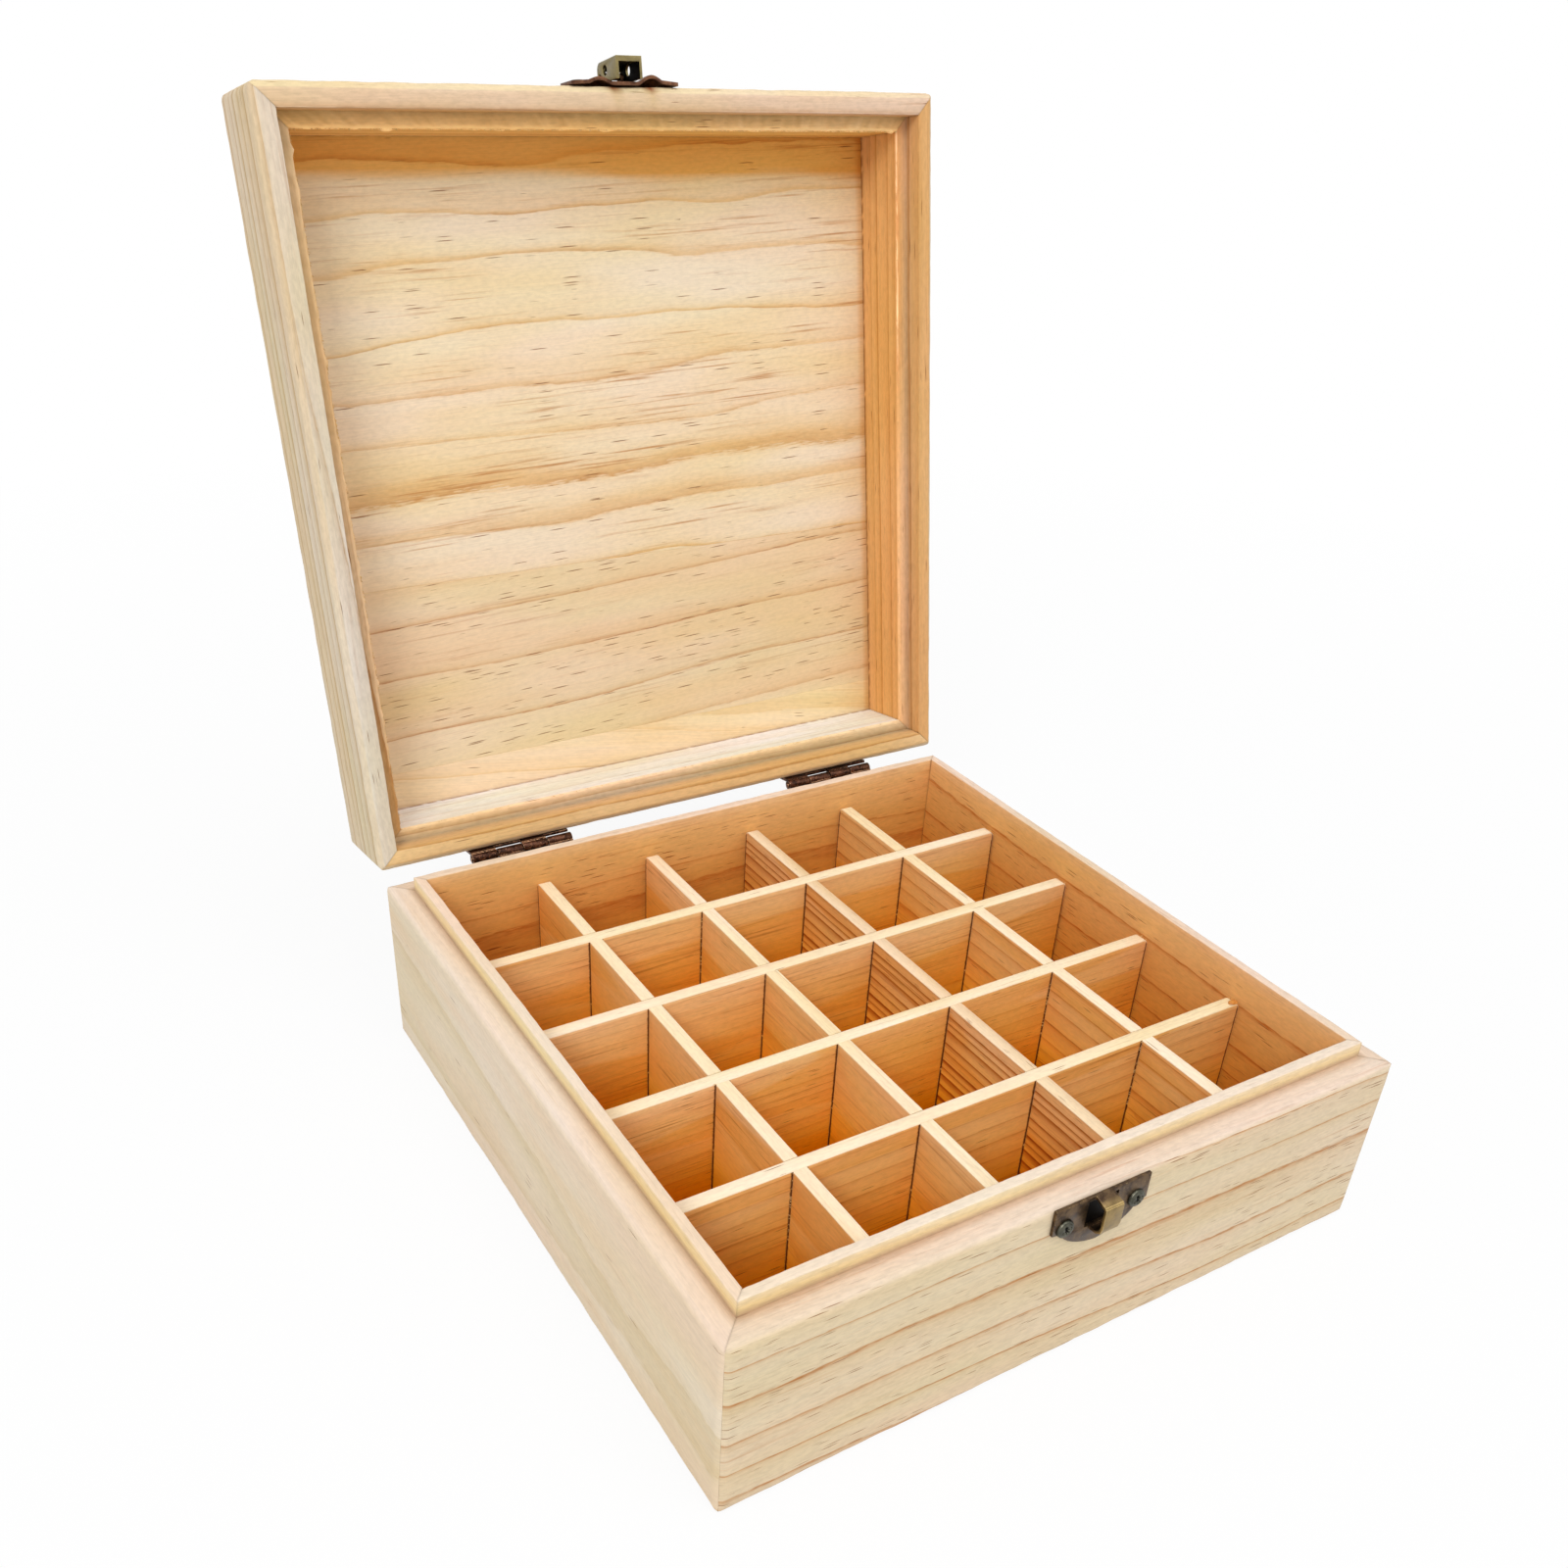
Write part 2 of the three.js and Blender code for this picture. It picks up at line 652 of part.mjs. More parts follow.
function capHollow() {
  const near = -haspPinHeight - capBelowRim;
  const lipTop = near + capSheet;
  const lipReach = capNearReach - haspPinReach - capLipDepth;
  const cornerReach = capFarReach - haspPinReach - capCornerRound;
  const below = -haspPinReach - cutOverrun;
  const beyond = capBeyondPin + cutOverrun;
  const shape = new THREE.Shape();
  shape.moveTo(below, near - cutOverrun);
  shape.lineTo(lipReach, near - cutOverrun);
  shape.lineTo(lipReach, lipTop);
  shape.lineTo(capNearReach - haspPinReach - capSheet, lipTop);
  shape.lineTo(capFarReach - haspPinReach - capSheet, capBeyondPin - capCornerRound);
  shape.absarc(cornerReach, capBeyondPin - capCornerRound, capCornerRound - capSheet, 0, Math.PI / 2);
  shape.lineTo(cornerReach, beyond);
  shape.lineTo(below, beyond);
  return shape;
}

function haspCap() {
  const body = acrossX(capOutline(), capWidth, outlineSteps);
  const across = capWidth + 2 * cutOverrun;
  const sideHole = rodAlongX(capHoleDiameter, across, roundSides)
    .translate(0, haspPinReach - capHoleReach, -capHoleFromPin);
  const pinHole = rodAlongX(haspPinBore, across, smallRoundSides);
  const hollow = acrossX(capHollow(), capInnerWidth, outlineSteps);
  return mesh('hasp_cap', cutAway(body, [hollow, sideHole, pinHole]), 'bronze');
}

function haspParts() {
  const underHead = hardwareSeatGap * 2 + latchPlateThickness;
  const pivot = new THREE.Group();
  pivot.position.set(latchOffset, -halfDepth - haspPinReach, rimHeight + haspPinHeight);
  const pin = rodAlongX(haspPinDiameter, capWidth + 2 * haspPinProud, smallRoundSides);
  pivot.add(haspCap(), mesh('hasp_pin', pin, 'darkBronze'));
  return [haspPlate(), ...screws('hasp_screw', haspScrews, plateScrew, underHead, false), pivot];
}

function openLid() {
  const lid = new THREE.Group();
  lid.position.copy(hingeAxis);
  lid.rotation.x = -THREE.MathUtils.degToRad(lidOpenDegrees);
  const closedFrame = new THREE.Group();
  closedFrame.position.copy(hingeAxis).negate();
  closedFrame.add(...lidWalls(), lidPanel(), ...lidHingeParts(), ...haspParts());
  lid.add(closedFrame);
  return lid;
}

function organizerBox() {
  const box = new THREE.Group();
  box.name = 'wooden_organizer_box';
  box.add(...baseWalls(), bottomPanel(), dividerGrid());
  box.add(...baseHingeParts(), ...catchParts(), openLid());
  return box;
}

export default organizerBox();
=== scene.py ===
import math
import random

import bmesh
import bpy
from mathutils import Euler, Matrix, Vector, geometry, noise


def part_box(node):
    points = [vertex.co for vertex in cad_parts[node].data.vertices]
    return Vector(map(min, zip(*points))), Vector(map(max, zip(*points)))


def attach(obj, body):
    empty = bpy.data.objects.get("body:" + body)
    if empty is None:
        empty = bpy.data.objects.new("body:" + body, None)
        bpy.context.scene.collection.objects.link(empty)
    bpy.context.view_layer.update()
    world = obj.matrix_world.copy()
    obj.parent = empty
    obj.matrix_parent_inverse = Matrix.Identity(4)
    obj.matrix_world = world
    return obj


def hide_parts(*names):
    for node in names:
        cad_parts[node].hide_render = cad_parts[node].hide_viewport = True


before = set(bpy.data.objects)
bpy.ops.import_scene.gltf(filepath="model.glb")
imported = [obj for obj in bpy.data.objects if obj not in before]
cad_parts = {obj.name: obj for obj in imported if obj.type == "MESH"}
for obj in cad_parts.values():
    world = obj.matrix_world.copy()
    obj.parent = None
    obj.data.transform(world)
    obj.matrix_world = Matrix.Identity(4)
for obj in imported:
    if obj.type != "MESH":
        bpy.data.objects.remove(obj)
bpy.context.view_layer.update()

MM = 0.001
QUARTER = math.pi / 2
WHITE = (1.0, 1.0, 1.0)

# Screen colours that several looks share
RESIN = (122, 68, 24)
JOINT_SHADOW = (92, 46, 18)
RECESS_SHADOW = (12, 11, 10)

# Sizes of the box, in millimetres
BOX_HALF = 92.5
WALL = 9.0
REBATE = 4.0
PANEL_INSET = WALL - REBATE
PANEL_SIDE_GAP = 0.2
PANEL_HALF = BOX_HALF - PANEL_INSET - PANEL_SIDE_GAP
PANEL_EASE = 0.12
CORNER_ROUND = 2.3
BASE_HEIGHT = 48.0
BASE_BEVEL = 1.2
FOOT_BEVEL = 1.0
TONGUE_INSET = 6.25
TONGUE_TOP = 52.2
BOTTOM_TOP = 3.0
BASE_MITRE_GAP = 0.02
RIM_HEIGHT = 48.3
RIM_BEVEL = 1.7
RABBET_INSET = 5.5
RABBET_TOP = RIM_HEIGHT + 5.9
LID_PANEL_LOW = RIM_HEIGHT + 23.1
LID_TOP = RIM_HEIGHT + 27.7
LID_TOP_BEVEL = 1.2
LID_PANEL_SEAT = 0.2
LID_MITRE_GAP = 0.03
HINGE_AXIS = Vector((0.0, 94.45, RIM_HEIGHT))
LID_OPEN = math.radians(100)

DIVIDER_THICK = 3.6
DIVIDER_HALF_LENGTH = 83.0
DIVIDER_TOP = 43.2
DIVIDER_PITCH = 33.8
DIVIDER_COUNT = 4
DIVIDER_ROUND = 1.6
DIVIDER_EASE = 0.22
LAP_GAP = 0.09
LAP_LEVEL = (BOTTOM_TOP + DIVIDER_TOP) / 2
SLOT_HALF = DIVIDER_THICK / 2 + LAP_GAP

# How close the points lie along a rail, and how far the last ones are from its end
STATION_PITCH = 1.5
END_STATIONS = (0.0, 0.2, 0.45, 0.8, 1.2, 1.7, 2.3, 3.2)
LONGEST_FLAT = 3.6

# From the place that a piece has with the lid shut to its place at rest
LID_TURN = (
    Matrix.Translation(HINGE_AXIS) @ Matrix.Rotation(-LID_OPEN, 4, "X") @ Matrix.Translation(-HINGE_AXIS)
)
LID_SHUT = LID_TURN.inverted()
BASE_TURN = Matrix.Identity(4)

# Camera, in millimetres and degrees
CAMERA_PLACE = Vector((-187.26, -246.84, 254.88))
CAMERA_TURN = (56.202, -2.811, -31.303)
CAMERA_LENS = 33.573
CAMERA_SHIFT = (0.00558, 0.1137)

# Each lamp: its name, its place, the place it aims at, its size in metres and its power in watts
LAMPS = (
    ("key_lamp", (-1.15, -1.0, 1.4), (0, 0.02, 0.08), 0.8, 17),
    ("top_lamp", (0.15, -0.5, 1.85), (0, 0, 0.03), 1.0, 7.5),
    ("fill_lamp", (0.9, -1.2, 1.2), (0, 0, 0.06), 1.2, 3),
)


def clamped(share):
    return min(max(share, 0.0), 1.0)


def linear(level):
    """A level as a screen shows it, 0 to 255, as the level that a shader takes. The numbers are those
    of the common screen curve."""
    share = level / 255
    return share / 12.92 if share <= 0.04045 else ((share + 0.055) / 1.055) ** 2.4


def paint(colour):
    """A colour as a screen shows it, as the colour that a shader takes."""
    return (*map(linear, colour), 1.0)


# Node helpers

class Value:
    """What a node gives at one of its outputs. value["Name"] or value[1] is another output of the same
    node, and sums with values add Math nodes to their tree."""
    def __init__(self, socket):
        self.socket = socket

    def __getitem__(self, key):
        return Value(self.socket.node.outputs[key])

    def __add__(self, other):
        return calc("ADD", self, other)

    def __sub__(self, other):
        return calc("SUBTRACT", self, other)

    def __rsub__(self, other):
        return calc("SUBTRACT", other, self)

    def __mul__(self, other):
        return calc("MULTIPLY", self, other)

    def __truediv__(self, other):
        return calc("DIVIDE", self, other)


def add(tree, kind, values=None, **settings):
    """Adds a node and gives its first output. A value is linked to the input it is given for, and
    anything else is set there."""
    made = tree.nodes.new(kind)
    for name, setting in settings.items():
        setattr(made, name, setting)
    for key, value in (values or {}).items():
        if isinstance(value, Value):
            tree.links.new(value.socket, made.inputs[key])
        else:
            made.inputs[key].default_value = value
    return Value(made.outputs[0]) if made.outputs else None


def tree_of(*parts):
    """The tree of the first value among some parts."""
    return next(part.socket.id_data for part in parts if isinstance(part, Value))


def calc(operation, first, second=0.0, third=0.0):
    """What a Math node makes of up to three values or numbers."""
    values = {0: first, 1: second, 2: third}
    return add(tree_of(first, second, third), "ShaderNodeMath", values, operation=operation)


def mix(share, first, second, mode="MIX"):
    """The first colour where the share is 0, and the second where it is 1."""
    values = {0: share, 6: first, 7: second}
    return add(tree_of(share, first, second), "ShaderNodeMix", values, data_type="RGBA", blend_type=mode)[2]


def multiplied(colour, other):
    return mix(1.0, colour, other, "MULTIPLY")


def tinted(colour, tint, share):
    """The colour, multiplied by a tint where the share is 1."""
    return mix(share, colour, multiplied(colour, (*tint, 1.0)))


def ramp(share, *stops):
    """Grey levels along a value from 0 to 1. Each stop is (place, level)."""
    made = add(tree_of(share), "ShaderNodeValToRGB", {"Fac": share})
    elements = made.socket.node.color_ramp.elements
    while len(elements) < len(stops):
        elements.new(1.0)
    for element, (place, level) in zip(elements, stops):
        element.position = place
        element.color = (level, level, level, 1.0)
    return made


def ranged(value, start, end, **limits):
    """0 where the value is at start or before it, 1 where it is at end, or the limits low and high."""
    values = {0: value, 1: start, 2: end}
    if limits:
        values.update({3: limits["low"], 4: limits["high"]})
    return add(tree_of(value), "ShaderNodeMapRange", values)


def vector_sum(operation, first, second):
    return add(tree_of(first), "ShaderNodeVectorMath", {0: first, 1: second}, operation=operation)


def stretched(place, along, across):
    """A place with its X scaled by along and the rest by across."""
    return vector_sum("MULTIPLY", place, (along, across, across))


def noise_of(place, detail=2.0, roughness=0.5):
    values = {"Vector": place, "Scale": 1.0, "Detail": detail, "Roughness": roughness}
    return add(tree_of(place), "ShaderNodeTexNoise", values)["Fac"]


def grain_noise(place, along, across, detail=2.0, roughness=0.5):
    """Noise that changes slowly along the grain and quickly across it."""
    return noise_of(stretched(place, along, across), detail, roughness)


def object_place(tree):
    return add(tree, "ShaderNodeTexCoord")["Object"]


def stored(tree, name):
    """What the mesh keeps in an attribute of its points."""
    return add(tree, "ShaderNodeAttribute", attribute_name=name)


def new_material(name):
    material = bpy.data.materials.new(name)
    material.use_nodes = True
    material.node_tree.nodes.clear()
    return material


def coat(tree, values, relief=None):
    """Ends a material in one skin. relief is its height, its strength and its depth in metres."""
    if relief:
        bump = add(tree, "ShaderNodeBump", dict(zip(("Height", "Strength", "Distance"), relief)))
        values = {**values, "Normal": bump}
    skin = add(tree, "ShaderNodeBsdfPrincipled", values)
    add(tree, "ShaderNodeOutputMaterial", {"Surface": skin})


# Objects and meshes

def linked(name, data):
    """A new object at the origin of the scene."""
    made = bpy.data.objects.new(name, data)
    bpy.context.scene.collection.objects.link(made)
    return made


def hand_over(piece, body, stands_for=()):
    """Sets a piece on the body that it rides, and hides the solids that it stands for."""
    if stands_for:
        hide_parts(*stands_for)
    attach(piece, body)


def add_piece(mesh, body, stands_for=()):
    hand_over(linked(mesh.name, mesh), body, stands_for)


def flat(rows):
    return [value for row in rows for value in row]


def keep(mesh, name, kind, values):
    """Keeps values in an attribute of a mesh's points, as one flat list."""
    key = {"FLOAT": "value", "FLOAT_VECTOR": "vector", "FLOAT_COLOR": "color"}[kind]
    mesh.attributes.new(name, kind, "POINT").data.foreach_set(key, values)


def closed_mesh(name, points, faces, materials, face_slots=None, split=False):
    """A mesh from points in millimetres, with its faces turned outwards. split makes triangles of the
    faces that have more than four sides."""
    mesh = bpy.data.meshes.new(name)
    mesh.from_pydata([point * MM for point in points], [], faces)
    for material in materials:
        mesh.materials.append(material)
    if face_slots:
        mesh.polygons.foreach_set("material_index", face_slots)
    shell = bmesh.new()
    shell.from_mesh(mesh)
    bmesh.ops.recalc_face_normals(shell, faces=shell.faces)
    if split:
        bmesh.ops.triangulate(shell, faces=[face for face in shell.faces if len(face.verts) > 4])
    shell.to_mesh(mesh)
    shell.free()
    return mesh


def wood_mesh(name, points, faces, boards, tints, materials, face_slots=None):
    """A mesh of wood. boards are the places of its points in the tree, and tints what multiplies the
    colour there, of which the last number is how strong the growth lines are."""
    flat_edge = math.radians(38)
    mesh = closed_mesh(name, points, faces, materials, face_slots, split=True)
    keep(mesh, "board", "FLOAT_VECTOR", flat(boards))
    keep(mesh, "tint", "FLOAT_COLOR", flat(tints))
    mesh.shade_smooth()
    mesh.set_sharp_from_angle(angle=flat_edge)
    return mesh


def ring_face(ring, count):
    """The face that closes one ring of count points."""
    return tuple(range(ring * count, (ring + 1) * count))


def tube_faces(rings, count):
    """The faces between closed rings of count points each."""
    faces = []
    for ring in range(rings - 1):
        for index in range(count):
            first = ring * count + index
            after = ring * count + (index + 1) % count
            faces.append((first, after, after + count, first + count))
    return faces


# Camera, lights and floor

def add_camera():
    camera = bpy.data.cameras.new("studio_camera")
    camera.lens = CAMERA_LENS
    camera.sensor_width = 36.0
    camera.shift_x, camera.shift_y = CAMERA_SHIFT
    camera.clip_start = 10 * MM
    eye = linked("studio_camera", camera)
    eye.location = CAMERA_PLACE * MM
    eye.rotation_euler = Euler([math.radians(angle) for angle in CAMERA_TURN])
    bpy.context.scene.camera = eye


def add_lights():
    for name, place, aim, size, power in LAMPS:
        lamp = bpy.data.lights.new(name, "AREA")
        lamp.shape = "DISK"
        lamp.size = size
        lamp.energy = power
        stand = linked(name, lamp)
        stand.location = place
        direction = Vector(aim) - Vector(place)
        stand.rotation_euler = direction.to_track_quat("-Z", "Y").to_euler()


def clean_background(tree):
    """1 for the rays that see a clean white background: camera, glossy and transmission rays."""
    path = add(tree, "ShaderNodeLightPath")
    return calc("MINIMUM", path["Is Camera Ray"] + path["Is Glossy Ray"] + path["Is Transmission Ray"], 1.0)


def add_world():
    """A sky that lights the box a little coolly, and that the camera sees as plain white."""
    cool_white, strength = (0.97, 0.985, 1.0, 1.0), 0.64
    world = bpy.data.worlds.new("studio_world")
    world.use_nodes = True
    tree = world.node_tree
    tree.nodes.clear()
    lit = add(tree, "ShaderNodeBackground", {"Color": cool_white, "Strength": strength})
    seen = add(tree, "ShaderNodeBackground", {"Color": (*WHITE, 1.0), "Strength": 1.0})
    mixed = add(tree, "ShaderNodeMixShader", {0: clean_background(tree), 1: lit, 2: seen})
    add(tree, "ShaderNodeOutputWorld", {"Surface": mixed})
    bpy.context.scene.world = world


def add_floor():
    """A floor that takes the box's shadow and fades to the white of the sky away from it."""
    half, grey = 4.0, 0.82
    near, far = 0.2, 0.7
    mesh = bpy.data.meshes.new("studio_floor")
    corners = [(-half, -half, 0), (half, -half, 0), (half, half, 0), (-half, half, 0)]
    mesh.from_pydata(corners, [], [(0, 1, 2, 3)])
    material = new_material("pale_floor")
    tree = material.node_tree
    plain = add(tree, "ShaderNodeBsdfDiffuse", {"Color": (grey, grey, grey, 1.0)})
    glow = add(tree, "ShaderNodeEmission", {"Color": (*WHITE, 1.0), "Strength": 1.0})
    away = add(tree, "ShaderNodeVectorMath", {0: object_place(tree)}, operation="LENGTH")["Value"]
    share = clean_background(tree) * ranged(away, near, far, low=0.9, high=1.0)
    mixed = add(tree, "ShaderNodeMixShader", {0: share, 1: plain, 2: glow})
    add(tree, "ShaderNodeOutputMaterial", {"Surface": mixed})
    mesh.materials.append(material)
    linked("studio_floor", mesh)


# Pine

def growth_turns(tree, given):
    """Ring number at a place, counted outwards from the pith, with its bends and wild years."""
    place = given["Vector"]
    quick_share = 0.13
    wild_years, wild_rate = 1.7, 0.07
    slow = grain_noise(place, 0.010, 0.03, 1.0)
    quick = grain_noise(place, 0.045, 0.16)
    bend = calc("MULTIPLY_ADD", quick - 0.5, quick_share, slow - 0.5)
    split = add(tree, "ShaderNodeSeparateXYZ", {0: place})
    across = calc("MULTIPLY_ADD", bend, given["Waves"], split["Z"])
    through = calc("MULTIPLY_ADD", bend, given["Waves"], split["Y"])
    distance = calc("SQRT", across * across + through * through)
    age = {"W": distance * wild_rate, "Scale": 1.0}
    years = add(tree, "ShaderNodeTexNoise", age, noise_dimensions="1D")
    ragged = grain_noise(place, 0.22, 2.2)
    smooth = calc("MULTIPLY_ADD", years, wild_years, distance / given["Spacing"])
    return calc("MULTIPLY_ADD", ragged - 0.5, given["Raggedness"], smooth)


def resin_flecks(tree, given):
    """Short dark dashes along the grain, in loose crowds. Lengths are shares of a cell."""
    place = given["Vector"]
    shortest, spread, darkness = 0.1, 0.2, 2.2
    cell_place = stretched(place, 0.09, 1.9)
    cells = add(tree, "ShaderNodeTexVoronoi", {"Vector": cell_place, "Scale": 1.0}, feature="F1")
    chance = add(tree, "ShaderNodeSeparateColor", {0: cells["Color"]})
    crowd = grain_noise(place, 0.012, 0.07, 1.0)
    allowed = given["Flecks"] * calc("MULTIPLY_ADD", crowd, 2.6, -0.75)
    kept = calc("LESS_THAN", chance["Red"], allowed)
    reach = calc("MULTIPLY_ADD", chance["Green"], spread, shortest)
    closeness = 1.0 - cells["Distance"] / reach
    return calc("MINIMUM", kept * calc("MAXIMUM", closeness, 0.0) * darkness, 1.0)


def pine_group():
    """The growth rings and what lies on them, at a place in a board's own frame. The frame is in
    millimetres, with X along the grain and the middle of the tree on the X axis."""
    tree = bpy.data.node_groups.new("pine_grain", "ShaderNodeTree")
    tree.interface.new_socket("Vector", in_out="INPUT", socket_type="NodeSocketVector")
    for name in ("Spacing", "Waves", "Raggedness", "Flecks", "Faintness"):
        tree.interface.new_socket(name, in_out="INPUT", socket_type="NodeSocketFloat")
    for name in ("Ring", "Line", "Streak", "Fibre", "Fleck", "Cloud", "Blush", "Zone", "Mottle", "Height"):
        tree.interface.new_socket(name, in_out="OUTPUT", socket_type="NodeSocketFloat")
    given = add(tree, "NodeGroupInput")
    other_wood = (517.0, 83.0, 41.0)
    place = given["Vector"]
    elsewhere = vector_sum("ADD", place, other_wood)
    turns = growth_turns(tree, given)
    phase = calc("FRACT", turns)
    year = add(tree, "ShaderNodeTexWhiteNoise", {"W": calc("FLOOR", turns)}, noise_dimensions="1D")["Value"]
    strength = calc("MULTIPLY_ADD", year, 0.75, 0.35)
    soft = ramp(phase, (0.0, 0.75), (0.05, 0.06), (0.42, 0.05), (0.78, 0.42), (0.95, 1.0))
    fine = ramp(phase, (0.0, 1.0), (0.02, 0.0), (0.91, 0.0), (0.965, 0.45), (0.987, 1.0))
    grain = grain_noise(place, 0.09, 3.4, 3.0, 0.6)
    broken = grain_noise(place, 0.13, 0.9)
    faded = ramp(grain_noise(place, 0.022, 0.07), (0.44, 1.0), (0.58, 0.0)) * given["Faintness"]
    line = fine * strength * calc("MULTIPLY_ADD", broken, 1.3, 0.25) * (1.0 - faded)
    fleck = resin_flecks(tree, given)
    thin = grain_noise(elsewhere, 0.035, 1.5, 2.0, 0.6)
    patch = grain_noise(elsewhere, 0.02, 0.11, 1.0)
    broad = grain_noise(elsewhere, 0.006, 0.045, 0.0)
    add(tree, "NodeGroupOutput", {
        "Ring": soft * strength,
        "Line": line,
        "Streak": ramp(thin, (0.56, 0.0), (0.72, 1.0)) * ramp(patch, (0.42, 0.0), (0.62, 1.0)),
        "Fibre": grain,
        "Fleck": fleck,
        "Cloud": grain_noise(place, 0.013, 0.06),
        "Blush": grain_noise(elsewhere, 0.012, 0.08),
        "Zone": ramp(broad, (0.5, 0.0), (0.525, 1.0)),
        "Mottle": grain_noise(place, 0.45, 1.3, 2.0, 0.6),
        "Height": calc("MULTIPLY_ADD", grain, 0.55, line * 0.35) - fleck * 0.9,
    })


def crossing_shade(tree, place):
    """1 in the thin ragged line where a divider meets the one that crosses it, else 0."""
    line_reach, line_edge, darkness = 0.05, 0.4, 0.95
    share = calc("FRACT", stored(tree, "along")["Fac"] / DIVIDER_PITCH)
    distance = calc("ABSOLUTE", share - 0.5) * DIVIDER_PITCH
    ragged = calc("MULTIPLY_ADD", grain_noise(place, 1.0, 1.5) - 0.5, 0.5, distance)
    return ranged(ragged, SLOT_HALF + line_edge, SLOT_HALF + line_reach) * darkness


def pine(name, light, dark, line, spacing=6.0, waves=3.0, flecks=0.5, ring_depth=0.8, line_depth=0.8,
         streak_depth=0.35, cloud_tint=(0.95, 0.95, 0.8), blush_tint=(1.0, 0.93, 0.87), zone_tint=WHITE,
         mottled=0.08, raggedness=0.07, faintness=0.0, gloss=0.12, inner=None, joints=False):
    """Raw pine on the board frame that a piece keeps in its attribute "board". inner is (colour, high,
    low): painted shade and warm bounce light in a cell, none at the high height and full at the low
    one. joints paints shadow in the line where the dividers cross."""
    roughness, relief, relief_depth = 0.62, 0.35, 0.12
    material = new_material(name)
    tree = material.node_tree
    line = paint(line)
    place = stored(tree, "board")["Vector"]
    tint = stored(tree, "tint")
    striped = tint["Alpha"]
    got = add(tree, "ShaderNodeGroup", {
        "Vector": place, "Spacing": spacing, "Waves": waves, "Raggedness": raggedness, "Flecks": flecks,
        "Faintness": faintness,
    }, node_tree=bpy.data.node_groups["pine_grain"])
    colour = mix(got["Ring"] * ring_depth * striped, paint(light), paint(dark))
    colour = tinted(colour, cloud_tint, ramp(got["Cloud"], (0.38, 0.0), (0.66, 1.0)))
    colour = tinted(colour, blush_tint, ramp(got["Blush"], (0.4, 0.0), (0.62, 1.0)))
    colour = tinted(colour, zone_tint, got["Zone"])
    colour = mix(got["Streak"] * streak_depth, colour, line)
    colour = mix(got["Line"] * line_depth * striped, colour, line)
    colour = mix(calc("MAXIMUM", striped - 1.0, 0.0) * got["Ring"], colour, line)
    colour = multiplied(colour, ramp(got["Fibre"], (0.3, 0.93), (0.7, 1.03)))
    speckle = ramp(got["Mottle"], (0.36, 1.0 - 1.3 * mottled), (0.6, 1.0 + 0.7 * mottled))
    colour = multiplied(colour, speckle)
    flecked = calc("MINIMUM", striped * 2.5, 1.0) * 0.8
    colour = mix(got["Fleck"] * flecked, colour, paint(RESIN))
    # Painted shade and warm bounce light, growing towards the bottom of a cell
    if inner:
        cell_bounce_shade_tint, high, low = inner
        level = add(tree, "ShaderNodeSeparateXYZ", {0: object_place(tree)})["Z"]
        colour = tinted(colour, cell_bounce_shade_tint, ranged(level, high * MM, low * MM))
    if joints:
        colour = mix(crossing_shade(tree, place), colour, paint(JOINT_SHADOW))
    colour = multiplied(colour, tint["Color"])
    coat(tree, {"Base Color": colour, "Roughness": roughness, "Specular IOR Level": gloss},
         (got["Height"], relief, relief_depth * MM))
    return material


